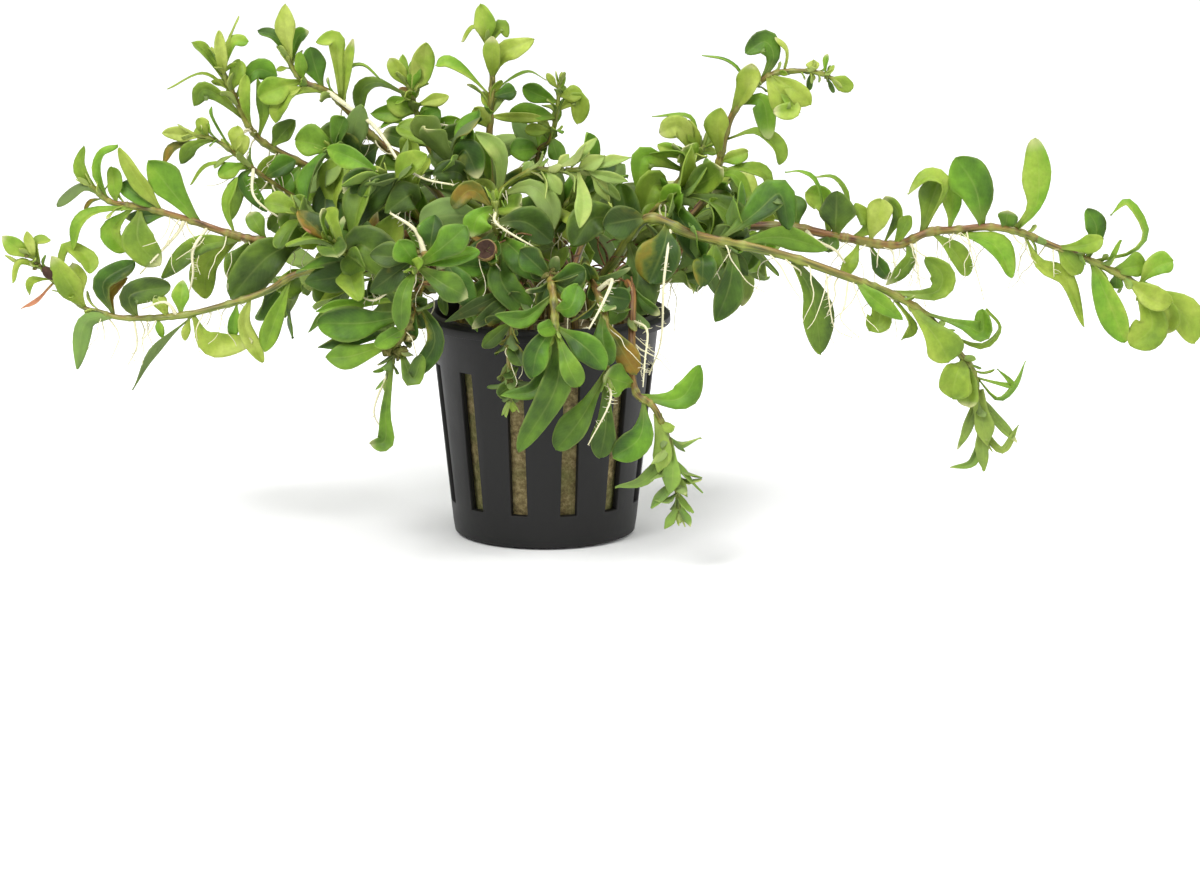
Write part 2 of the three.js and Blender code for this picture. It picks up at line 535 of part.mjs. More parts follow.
      [7.8, 3.6, 0, 0.5, [66, 46, -23], [71.6, 42.2, -23]],
      [9, 2.4, 40, 0.6, [73.6, 41.2, -20], [71.4, 38, -20]],
      [9, 5, 20, 0.7, [77.6, 47.4, -19], [79.4, 51, -19], [76, 54.4, -19]],
      [9.6, 7.2, 0, 0.45, [78.6, 38, -24], [80.8, 33.6, -24]],
      [10, 4.6, 20, 0.6, [84, 41, -22], [87.4, 39.8, -22], [87.4, 44.2, -22]],
      [10.6, 2.6, -60, 0.6, [87.4, 36.8, -18], [91, 40.4, -18], [88.2, 44.2, -18]],
      [11.6, 7, 0, 0.4, [82.4, 31, -24], [81.4, 26.4, -24]],
      [12, 4.6, 0, 0.4, [84.6, 24.6, -24]],
      [12.3, 2.4, -60, 0.45, [90.4, 26.2, -20], [94, 29, -20], [96.2, 33.8, -20]],
      [12.4, 1.2, 0, 0.5, [93.2, 29, -22], [90.4, 32.2, -22]],
      [13, 2, 0, 0.7, [84.4, 20, -21], [82.4, 16.2, -21]],
      [14, 1.8, 0, 0.6, [85.6, 13.6, -20], [81, 12.6, -20]],
      [13, 2.4, 20, 0.65, [91, 21.4, -20], [94.4, 17.6, -20]],
      [13.9, 2.4, -50, 0.55, [91.4, 16, -20], [94.8, 21, -20]],
      [14, 2.8, 0, 0.55, [87.8, 11.8, -21]],
      [12.8, 3.6, 0, 0.6, [88, 19, -23]],
    ],
    whorls: [],
    roots: [
      [6.6, 0.25, [56.8, 46, -22], [58, 40.4, -22], [61.6, 38.4, -22]],
      [7.2, 0.25, [60, 45, -22], [59.2, 42, -22], [63.6, 37.8, -22]],
      [2.6, 0.45, [23.8, 50, -26], [23.2, 38, -26], [20.8, 31, -26]],
    ],
  },
  right_long_high: {
    route: [[14, 48, 0], [24, 54, 0], [36, 60, -2], [48, 60.6, -4], [57, 59, -6], [61.4, 58.2, -6],
      [70, 57, -6], [76.8, 59.6, -6], [82.4, 60, -6], [88.6, 60.6, -6], [94.8, 59.6, -6],
      [101.6, 56.8, -6], [109.2, 53.8, -6], [116.2, 50.4, -6], [121, 47.5, -6]],
    radii: [1.5, 0.9],
    leaves: [
      [4.2, 1.6, -60, 0.4, [54.6, 69, -6], [51.5, 71.8, -6], [48, 71.6, -6]],
      [4.8, 1.8, -60, 0.6, [60.6, 66, -4], [58, 70.6, -4], [53.4, 70.6, -4]],
      [4.3, 5.2, 0, 0.2, [56, 65.6, -4], [52.2, 67.6, -4]],
      [4.6, 7, 0, 1, [58.4, 67.8, -9]],
      [4.3, 5, 0, 0.95, [56.6, 55.6, -9]],
      [5.2, 3.6, -20, 0.6, [64.8, 61, -7], [62, 65.4, -7]],
      [5.4, 3, 0, 0.5, [61.2, 54, -9], [59.4, 51, -9]],
      [5.6, 5.2, 0, 0.2, [66.4, 62, -8], [67.2, 66.2, -8]],
      [5.9, 2.8, 20, 0.85, [70.6, 63, -7], [68, 66.6, -7]],
      [6.2, 3, 0, 0.6, [73, 62.8, -7]],
      [7, 5.4, 0, 0.75, [77.4, 66, -7], [79, 70.2, -7]],
      [7.1, 3.4, -40, 0.3, [80, 68.6, -9], [76.4, 70.8, -9], [72.6, 67.2, -9]],
      [8, 3.8, 0, 0.3, [81.6, 65, -5], [80.4, 70.8, -5]],
      [9.1, 8.4, 0, 0.52, [86, 68.6, -8], [82.2, 74.4, -8]],
      [10.1, 5.6, 0, 0.2, [98.2, 65, -7], [98.8, 71.6, -7], [98, 78.4, -7]],
      [9.8, 4.2, 0, 0.8, [92.6, 63.8, -7]],
      [12.1, 4.4, 0, 0.7, [110.4, 60, -7], [108.4, 64.2, -7]],
      [11.3, 3.6, 0, 0.35, [108, 57, -9], [111.6, 58.4, -9]],
      [12.2, 3.2, -60, 0.25, [117, 55.4, -5], [120, 59.6, -5], [116.6, 65.6, -5], [113, 63, -5]],
      [12.6, 1.2, 0, 0.5, [115.2, 58, -7]],
      [13.8, 5, 0, 0.3, [122, 52.4, -7], [125.6, 53.8, -7]],
      [12.8, 4.8, 0, 0.5, [120.4, 53.2, -5]],
      [13.1, 5.2, 0, 0.25, [121, 46.4, -10], [125.4, 45.4, -10]],
      [13.6, 7, 0, 0.5, [121.6, 41.4, -9], [117.2, 36.8, -9]],
      [14, 3.6, 0, 0.7, [124.8, 44, -7], [123.8, 39.2, -7]],
      [12.2, 5.8, 0, 0.3, [112.2, 47, -8], [116, 37.6, -8]],
      [14, 6.2, 0, 0.3, [127, 44, -6], [130, 37.4, -6]],
      [12.9, 3, 0, 0.7, [114.4, 48.4, -6]],
      [11.3, 4.2, 0, 0.7, [106.8, 51.2, -7]],
      [10.4, 4, 25, 0.35, [99, 53, -7], [104.6, 50, -7], [107.8, 40.6, -7]],
      [8.1, 4.8, 30, 0.3, [90, 57, -8], [93.4, 50.4, -8]],
      [7.3, 4, 0, 0.6, [82, 55.6, -8], [84.6, 50.8, -8]],
      [6.5, 3, 0, 0.8, [73, 54, -8], [68.2, 49, -8]],
      [5.6, 3, 0, 0.85, [66.8, 53, -7], [68.8, 50.2, -7]],
      [3.4, 4, 0, 0.9, [50, 67, -3]],
      [2.8, 5, 0, 0.9, [40, 52, -5]],
      [2.2, 5, 0, 0.9, [34, 68, -3]],
    ],
    whorls: [],
    roots: [
      [8.3, 0.25, [85.4, 55, -9], [87.8, 46, -9]],
      [6.6, 0.25, [74.4, 52, -9], [76.2, 44.4, -9]],
      [11, 0.25, [101.8, 50.6, -8]],
      [3.4, 0.6, [54, 58, -9], [58, 56, -10], [60, 53.4, -10]],
    ],
  },
  front_left_rosette: {
    route: [[-10, 48, -9], [-17, 54, -22], [-24, 55, -33], [-26.2, 52, -38]],
    radii: [1.3, 1],
    leaves: [
      [3, 4.8, 0, 0.55, [-29.2, 57.9, -40.4]],
      [3, 5.8, 0, 0.65, [-20, 57, -43], [-15.8, 60.8, -42]],
      [3, 4, 0, 0.55, [-13, 55.6, -42]],
      [3, 3.8, 0, 0.65, [-28.4, 47, -42], [-28.8, 40, -42]],
      [3, 5.4, 0, 0.65, [-20, 49, -42], [-15.4, 46.6, -42]],
      [3, 2.4, 0, 0.3, [-24.6, 54, -43]],
      [2.7, 5, 0, 1, [-35, 55, -36]],
      [2.4, 5, 0, 1, [-35, 47.6, -35]],
      [2, 5, 0, 0.9, [-22, 63, -30]],
      [1.6, 5, 0, 0.9, [-14, 44, -32]],
    ],
    whorls: [],
    roots: [[2, 0.75, [-26, 60, -31], [-31, 63.4, -28]], [2.4, 0.4, [-34, 46, -34], [-40, 50, -28]]],
  },
  front_middle_rosette: {
    route: [[2, 48, -14], [1, 51, -28], [1.6, 47, -38], [2.2, 39.4, -44]],
    radii: [1.4, 1],
    leaves: [
      [2.6, 5, 0, 0.55, [5, 44.6, -46], [6.6, 49, -44]],
      [3, 5.6, 0, 0.75, [8, 36.6, -48], [12, 32, -47]],
      [3, 4.4, 0, 0.65, [4.6, 33, -49], [6.8, 28.6, -48]],
      [3, 5, 0, 0.75, [-1.4, 36, -48], [-2.6, 30.4, -47]],
      [3, 3.4, 0, 0.5, [-1.4, 40, -48]],
      [2.8, 3.6, 0, 0.75, [-1, 29, -44], [-8.8, 27, -44]],
      [2.2, 3.4, 0, 0.65, [-4, 42.4, -42], [-10, 43, -42]],
      [3, 6, 10, 0.85, [2.4, 29, -46], [-5.4, 15.6, -46]],
      [1.7, 5, 0, 0.9, [8, 52, -36]],
      [1.5, 5, 0, 0.9, [-5, 56, -32]],
    ],
    whorls: [],
    roots: [],
  },
  front_lower: {
    route: [[6, 48, -13], [9, 50, -27], [12, 42, -36], [12.4, 30, -40]],
    radii: [1.3, 0.9],
    leaves: [
      [3, 5.6, 0, 0.8, [7.4, 22.6, -43], [2.2, 16, -43]],
      [3, 4.8, 0, 0.85, [12.2, 21, -41], [11, 14.4, -41]],
      [2, 4.6, 0, 0.8, [11.6, 38, -42], [13, 33, -42]],
      [2.2, 4.6, 0, 1.35, [15.6, 35.6, -38], [18.4, 31.2, -38]],
      [1.6, 5, 0, 0.9, [17, 46, -33]],
    ],
    whorls: [],
    roots: [
      [1.4, 0.6, [13.4, 50, -34], [11.6, 45.4, -42], [8.8, 40.2, -46]],
      [3, 0.4, [13, 25.6, -44], [8.6, 17, -45]],
    ],
  },
  front_drooping: {
    route: [[12, 48, -13], [17, 49, -24], [17.4, 40, -31], [17.4, 32, -35], [18.4, 27.2, -38],
      [21.4, 25, -39], [23.2, 21.8, -39], [24.8, 17.4, -39], [25.4, 13, -38], [26.4, 8.2, -38],
      [26.8, 3.4, -38]],
    radii: [1.3, 0.7],
    leaves: [
      [4.5, 5, 12, 0.47, [27, 26.4, -39], [31, 33, -39]],
      [4.9, 6, 0, 0.72, [19, 18.6, -42], [13.6, 14.6, -42]],
      [5.4, 4, 0, 0.47, [21.4, 15.6, -43]],
      [7.4, 2.4, 10, 0.62, [20, 10, -40], [14, 8.6, -40]],
      [9, 2.2, 0, 0.62, [21.2, 4.4, -40]],
      [10, 1.9, 0, 0.52, [24, 0.2, -39]],
      [10, 1.7, 0, 0.52, [29.2, 0.8, -39]],
      [8.4, 1.4, 60, 0.52, [31.8, 7.2, -38]],
      [7, 1, 0, 0.72, [28, 15.6, -38]],
      [8.6, 2.2, 0, 0.57, [28.4, 6.6, -40]],
      [7, 4, 0, 0.62, [23, 9, -42]],
      [3.9, 6.2, 0, 0.52, [11.8, 30.8, -41]],
    ],
    whorls: [],
    roots: [[1.8, 0.4, [20.4, 40, -34], [20, 34, -38.4], [19.6, 28.6, -41]]],
  },
  middle: {
    route: [[1, 48, -7], [-5, 54, -15], [-9.6, 60, -23], [-10, 66, -24]],
    radii: [1.3, 1],
    leaves: [
      [3, 5.6, 0, 0.35, [-13.4, 62.6, -29], [-14.6, 58.6, -29]],
      [2, 6, 0, 0.7, [-5, 55, -30], [-1.2, 49.8, -30]],
      [1.8, 6, 0, 0.75, [-8.6, 49.6, -31], [-2.4, 42.8, -31]],
      [2.6, 7, 180, 0.7, [-19, 63, -25], [-25, 61, -25]],
      [2.9, 4, 0, 1.3, [-14.6, 68, -25], [-18.6, 64.6, -26]],
      [2.5, 6.4, 0, 1, [-4, 61.6, -22], [1.4, 57.6, -21]],
      [1.4, 3, 0, 0.6, [-14.4, 46, -30], [-13.6, 39.6, -30]],
      [2.2, 6, 0, 0.9, [-14, 52, -27]],
    ],
    whorls: [[1.2, 11, 5]],
    roots: [[2.6, 0.5, [-9.4, 61, -30], [-1.6, 56.2, -31]]],
  },
  cut_stem: {
    route: [[-5, 48, -12], [-9, 52, -22], [-11.8, 56, -34]],
    radii: [1.7, 1.8],
    leaves: [[1.2, 4.6, 0, 0.9, [-18, 53, -30]]],
    whorls: [],
    roots: [],
  },
  front_left_hanging: {
    route: [[-14, 48, -12.5], [-24, 49, -24], [-27, 42, -32], [-30, 36, -34], [-31.6, 30, -34]],
    radii: [1.3, 0.9],
    leaves: [
      [2, 6.6, 5, 0.74, [-36, 41.4, -36], [-45.6, 41.4, -36]],
      [2.6, 3, 0, 0.9, [-38, 38, -34], [-45.4, 36.4, -34]],
      [2.9, 5, 0, 0.56, [-38, 35, -37], [-43.8, 34.4, -37]],
      [1.6, 2.6, 0, 0.28, [-40, 45, -32], [-45.8, 43.6, -32]],
      [1.5, 2.2, 0, 0.68, [-42, 44, -30], [-47.4, 39.6, -30]],
      [3.4, 3.4, 0, 0.6, [-31.8, 24, -37], [-32, 18, -37], [-35, 17.2, -37]],
      [3, 3.6, 0, 1, [-26.6, 30.4, -38], [-24.6, 35, -38]],
      [1.6, 4, 0, 1.04, [-22, 38, -35], [-27, 30, -36]],
      [2.5, 3.6, 0, 0.58, [-34, 37, -38]],
    ],
    whorls: [],
    roots: [[3.6, 0.35, [-34.2, 24, -35], [-32.2, 19.6, -35]]],
  },
  front_withered: {
    route: [[-3, 48, -17.5], [-5, 49, -27], [-7, 38, -32], [-7, 30, -32], [-7, 25.6, -32]],
    radii: [1, 0.8],
    leaves: [
      [1.2, 3, 0, 1.2, [-20, 41.6, -33]],
      [1.4, 3, 0, 1.1, [-14.6, 40.4, -34]],
      [2.2, 3.4, 0, 1.2, [-4.6, 33, -36]],
      [3, 3.6, 0, 1.15, [-6.4, 30.6, -36]],
      [1.8, 3, 0, 1, [-12.4, 36.6, -34]],
      [3.6, 3, 0, 1.1, [-9.4, 27, -37]],
    ],
    whorls: [],
    roots: [],
  },
};

// Shoots that fill the heart of the plant and lean away from the front: their stems, and how
// many whorls of full-grown leaves each one carries
const innerRoutes = {
  inner_left: [[-16, 48, 2], [-29, 51, -4], [-41, 58, -9], [-50, 64, -12]],
  inner_left_low: [[-17, 48, -5], [-29, 49, -14], [-38, 54, -23], [-43, 58, -28]],
  inner_left_high: [[-11, 48, 8], [-26, 60, 8], [-36, 71, 3], [-43, 76, -1]],
  inner_left_front: [[-10, 48, 1], [-20, 55, -8], [-27, 65, -15], [-32, 71, -18]],
  inner_middle: [[-1, 48, 1], [-6, 58, -3], [-15, 69, -7], [-21, 77, -8]],
  inner_middle_high: [[5, 48, 2], [3, 56, 1], [3, 63, -5], [6, 67, -6]],
  inner_right: [[9, 48, 0], [15, 54, -3], [22, 64, -8], [29, 68, -10]],
  inner_right_low: [[15, 48, -5], [24, 50, -11], [31, 55, -12], [36, 59, -12]],
  inner_right_high: [[15, 48, 9], [24, 56, 15], [35, 61, 15], [41, 63, 14]],
  back_left: [[-10, 48, 16], [-23, 56, 30], [-35, 64, 42], [-43, 68, 50]],
  back_middle_left: [[-3, 48, 17], [-9, 58, 34], [-15, 68, 48], [-17, 73, 56]],
  back_middle: [[4, 48, 17], [7, 56, 34], [9, 62, 46], [10, 64, 56]],
  back_right: [[9, 48, 15.5], [20, 55, 30], [30, 61, 42], [36, 63, 50]],
  back_left_low: [[-15, 48, 11], [-27, 55, 24], [-42, 54, 34], [-52, 50, 40]],
  back_right_low: [[13, 48, 12.5], [26, 56, 24], [35, 58, 36], [39, 57, 44]],
  back_hanging: [[1, 48, 13], [1, 57, 31], [2, 50, 46], [3, 36, 54]],
};
const innerLeaves = {
  inner_left_high: [
    [2.6, 6.4, 0, 1, [-44, 66, -8], [-41.6, 58.6, -10]],
    [2.4, 5, 0, 0.95, [-41, 79.4, -2]],
  ],
  inner_left_front: [
    [2.8, 5, 0, 1, [-36, 70, -20], [-40.4, 67.6, -20]],
    [2.1, 6, 0, 1, [-27, 67, -22], [-32, 63.4, -23]],
  ],
  inner_left: [
    [2.1, 6, 0, 1, [-36, 65, -21], [-30, 71.4, -22]],
    [2.7, 4.6, 0, 1.08, [-46, 60.4, -17]],
  ],
  inner_left_low: [
    [2.4, 8.4, 0, 1, [-36.4, 57, -30], [-30, 51, -31]],
    [2, 6.6, 0, 1, [-40, 51, -26], [-48, 49.6, -26]],
  ],
  inner_middle: [
    [2.2, 4.6, 0, 1.06, [-17.6, 71.6, -14], [-22.4, 71.2, -15]],
    [2.7, 5.4, 0, 1, [-16, 76, -11], [-13.2, 70.4, -12]],
  ],
  inner_middle_high: [[1.9, 4.2, 0, 1.04, [-2, 70, -8], [-9.6, 69.4, -9]]],
  inner_right: [
    [1.6, 7, 0, 0.95, [10.4, 62.6, -18], [5.4, 56.8, -20]],
    [2.5, 6, 0, 0.9, [28, 61, -14], [31, 54, -16]],
  ],
  inner_right_low: [[2.2, 4.6, 0, 1.04, [31.6, 54, -24], [31.4, 48.6, -25]]],
};

const INNER_RADII = [1.3, 0.8];
const INNER_WHORLS = [[1.8, 14, 6.4], [2.9, 12, 5.4]];
for (const [name, route] of Object.entries(innerRoutes)) {
  const leaves = innerLeaves[name] ?? [];
  const whorls = leaves.length > 0 ? INNER_WHORLS.slice(1) : INNER_WHORLS;
  shoots[name] = { route, radii: INNER_RADII, leaves, whorls, roots: [] };
}

// A stem's curve goes straight up out of the wool to its first station
function stemCurve(route) {
  const points = route.map(place);
  const foot = points[0].clone().setZ(WOOL_TOP + GAP);
  const curve = new THREE.CatmullRomCurve3([foot, ...points], false, 'catmullrom');
  curve.shareAt = (station) => (station + 1) / route.length;
  return curve;
}

// A shoot's stem, and its leaves and roots, each also in a fatter form that others keep clear of
function growShoot({ route, radii, leaves, whorls, roots }) {
  const stem = stemCurve(route);
  const stemSolid = (extra) => tube(stemSection, stem, radii[0], radii[1], STEM_STEP, extra);
  const parts = leaves.filter(([, width]) => width >= LEAF_LEAST_WIDTH)
    .map((leaf) => (extra) => placedLeaf(stem, leaf, extra));
  whorls.forEach(([station, length, width], i) => {
    for (const leaf of whorl(stem, station, length, width, WHORL_TURN * i)) {
      parts.push((extra) => blade(leaf.midrib, leaf.normalAt, leaf.width, leaf.age, extra));
    }
  });
  for (const [station, radius, ...points] of roots) {
    const start = stem.getPoint(stem.shareAt(station));
    const curve = new THREE.CatmullRomCurve3([start, ...points.map(place)], false, 'catmullrom');
    parts.push((extra) => tube(rootSection, curve, radius, radius * 0.6, ROOT_STEP, extra));
  }
  return {
    stem: stemSolid(0),
    stemRoom: stemSolid(ROOM),
    parts: parts.map((part) => ({ solid: part(0), room: part(ROOM) })),
  };
}

// Of a solid that has been cut through, the body that still holds the stem
function bodyWithStem(solid, stem) {
  const bodies = solid.decompose();
  const shared = bodies.map((body) => body.intersect(stem).volume());
  return bodies[shared.indexOf(Math.max(...shared))];
}

// Leaves stay clear of every other shoot's stem and of the leaves grown before them
function shootSolids() {
  const grown = Object.entries(shoots).map(([name, shoot]) => [name, growShoot(shoot)]);
  const solids = {};
  const earlierRooms = [];
  for (const [name, { stem, parts }] of grown) {
    const otherStems = grown.filter(([other]) => other !== name).map(([, { stemRoom }]) => stemRoom);
    const inTheWay = [...otherStems, ...earlierRooms];
    let solid = stem;
    for (const part of parts) {
      const cut = inTheWay.reduce((rest, room) => cutWhereMet(rest, room), part.solid);
      solid = solid.add(cut);
    }
    solids[name] = bodyWithStem(solid.simplify(FINEST), stem);
    earlierRooms.push(...parts.map((part) => part.room));
  }
  return solids;
}

function cutWhereMet(solid, room) {
  const a = solid.boundingBox();
  const b = room.boundingBox();
  const apart = [0, 1, 2].some((axis) => a.min[axis] > b.max[axis] || b.min[axis] > a.max[axis]);
  return apart ? solid : solid.subtract(room);
}

function boxSolid(width, depth, height, x, y, z, turn = 0) {
  const geometry = new THREE.BoxGeometry(width, depth, height);
  geometry.translate(x, y, z);
  geometry.rotateZ(turn);
  return solidOf(geometry);
}

// The pot: a tapered cup with a lipped rim, slots round its side and slots in its floor
function potSolid() {
  const outline = [
    [0, 0], [FOOT_RADIUS, 0], [WALL_TOP_RADIUS, POT_HEIGHT - RIM_DROP],
    [RIM_RADIUS, POT_HEIGHT - RIM_DROP], [RIM_RADIUS, POT_HEIGHT],
    [WALL_TOP_RADIUS - WALL, POT_HEIGHT], [FOOT_RADIUS - WALL, FLOOR], [0, FLOOR],
  ].map(([radius, height]) => new THREE.Vector2(radius, height));
  const cup = new THREE.LatheGeometry(outline, POT_FACETS);
  cup.rotateX(Math.PI / 2);
  let pot = solidOf(cup);
  for (let i = 0; i < SIDE_SLOTS; i += 1) {
    const turn = (2 * Math.PI * (i + 0.5)) / SIDE_SLOTS;
    const height = SIDE_SLOT_HIGH - SIDE_SLOT_LOW;
    const middle = SIDE_SLOT_LOW + height / 2;
    pot = pot.subtract(boxSolid(9, SIDE_SLOT_WIDTH, height, 20, 0, middle, turn));
  }
  const slotLength = FLOOR_SLOT_OUTER - FLOOR_SLOT_INNER;
  const slotMiddle = (FLOOR_SLOT_OUTER + FLOOR_SLOT_INNER) / 2;
  for (let i = 0; i < FLOOR_SLOTS; i += 1) {
    const turn = (2 * Math.PI * i) / FLOOR_SLOTS;
    pot = pot.subtract(boxSolid(slotLength, FLOOR_SLOT_WIDTH, FLOOR * 3, slotMiddle, 0, 0, turn));
  }
  return pot;
}

// The wool plug fills the pot to just under its rim
function woolSolid() {
  const inner = (height) => THREE.MathUtils.mapLinear(
    height, FLOOR, POT_HEIGHT, FOOT_RADIUS - WALL, WALL_TOP_RADIUS - WALL) - GAP;
  const bottom = FLOOR + GAP;
  const shoulder = WOOL_TOP - WOOL_DOME;
  const outline = [
    [0, bottom], [inner(bottom), bottom], [inner(shoulder), shoulder],
    [inner(shoulder) - WOOL_DOME, WOOL_TOP], [0, WOOL_TOP],
  ].map(([radius, height]) => new THREE.Vector2(radius, height));
  const plug = new THREE.LatheGeometry(outline, WOOL_FACETS);
  plug.rotateX(Math.PI / 2);
  return solidOf(plug);
}

const materials = {
  pot: { color: 0x1c1c1b, roughness: 0.45, metalness: 0 },
  wool: { color: 0x6f6a45, roughness: 0.95, metalness: 0 },
  shoot: { color: 0x6a8f3a, roughness: 0.45, metalness: 0 },
};

function namedMesh(name, solid, finish) {
  const mesh = new THREE.Mesh(geometryOf(solid), new THREE.MeshStandardMaterial(finish));
  mesh.name = name;
  return mesh;
}

const plant = new THREE.Group();
plant.add(namedMesh('net_pot', potSolid(), materials.pot));
plant.add(namedMesh('wool_plug', woolSolid(), materials.wool));
for (const [name, solid] of Object.entries(shootSolids())) {
  plant.add(namedMesh(`shoot_${name}`, solid, materials.shoot));
}

export default plant;
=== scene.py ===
import math
import random

import bmesh
import bpy
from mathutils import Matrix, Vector, noise


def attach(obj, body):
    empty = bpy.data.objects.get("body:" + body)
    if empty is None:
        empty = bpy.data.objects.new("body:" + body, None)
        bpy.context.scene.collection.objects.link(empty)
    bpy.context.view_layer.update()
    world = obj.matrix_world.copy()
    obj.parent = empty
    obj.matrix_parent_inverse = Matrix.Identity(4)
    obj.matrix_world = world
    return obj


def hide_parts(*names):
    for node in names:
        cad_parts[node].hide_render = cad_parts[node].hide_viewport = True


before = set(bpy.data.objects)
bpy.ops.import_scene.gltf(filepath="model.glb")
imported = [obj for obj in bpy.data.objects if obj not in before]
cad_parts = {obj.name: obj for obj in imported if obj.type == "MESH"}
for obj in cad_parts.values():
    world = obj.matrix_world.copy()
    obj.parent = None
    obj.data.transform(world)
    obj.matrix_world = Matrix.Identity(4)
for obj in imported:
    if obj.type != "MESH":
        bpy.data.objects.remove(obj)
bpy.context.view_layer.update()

# Lengths in this file are in millimetres until a mesh is finished. +Z is up and -Y is the front.
MM = 0.001
GAP = 0.3

# Net pot
POT_HEIGHT = 45
RIM_RADIUS = 25
RIM_DROP = 2.4
WALL_TOP_RADIUS = 22.6
FOOT_RADIUS = 18
WALL = 1.3
SIDE_SLOTS = 12
SIDE_SLOT_WIDTH = 3.2
SIDE_SLOT_LOW = 7
SIDE_SLOT_HIGH = 35
FLOOR_SLOT_WIDTH = 3
FLOOR_SLOT_INNER = 6
FLOOR_SLOT_OUTER = 14.5
FLOOR_MIDDLE = 0.8
POT_ROUNDING = 0.3
SECTOR_COLUMNS = 6

# Mineral wool plug
WOOL_BOTTOM = 1.9
WOOL_TOP = 42.4
WOOL_DENT = 0.35
WOOL_FINE_DENT = 0.25

# Round stems and roots are slimmer than the corners of their solids
STEM_SLIM = 0.72
CUT_END_SLIM = 0.86
ROOT_SLIM = 0.8

# Leaves and whorls
LEAF_BOW = 0.12
LEAF_ROOTED = 1.6
LEAF_THICKNESS = 0.2
SMALL_LEAF_LENGTH = 6
LEAF_STALK_SHARE = 0.12
FRESH_TONE = 0.85
WITHERED_CHANCE = 0.04
TURNED_OVER_CHANCE = 0.2
BLEACHED_TIP_CHANCE = 0.18
BUD_LEAVES = 4
EDGE_RIPPLE = 0.06
MIDRIB_SINK = 0.12
LEAF_WELD = 0.004
TUBE_WELD = 0.002
WHORL_LEAVES = 3
WHORL_RISE = 40
WHORL_RISE_SPREAD = 64
WHORL_TURN_SPREAD = 70
WHORL_TURN = 52

# The spans that each leaf's own shape is drawn from, in degrees or as shares of its half width
# or length. Placed leaves are the ones listed one by one, loose leaves the ones in whorls.
PLACED_FOLD, LOOSE_FOLD = (2, 20), (2, 26)
PLACED_TWIST, LOOSE_TWIST = (-10, 10), (-60, 60)
LEAF_CURL = (-0.4, 0.6)
LEAF_WAVE = (0.04, 0.2)
LEAF_WIDEST = (0.54, 0.72)
LEAF_SKEW = (-0.18, 0.18)
LEAF_LAG = (-0.05, 0.05)
LOOSE_AGE_SPREAD = (-0.45, 0.22)
WITHERED_AGES = (1.15, 1.4)

# Points on the plant are written as they are seen from in front: [right, up, back]. Right and
# up are measured on a plane through the pot's foot that faces an eye a metre away and a little
# above, and back is the true depth behind the pot's middle.
EYE_ELEVATION = math.radians(12)
EYE_DISTANCE = 1000
UPWARD = Vector((0, math.sin(EYE_ELEVATION), math.cos(EYE_ELEVATION)))
AHEAD = Vector((0, math.cos(EYE_ELEVATION), -math.sin(EYE_ELEVATION)))
EYE = Vector((11, 0, 0)) + 19.1 * UPWARD - EYE_DISTANCE * AHEAD
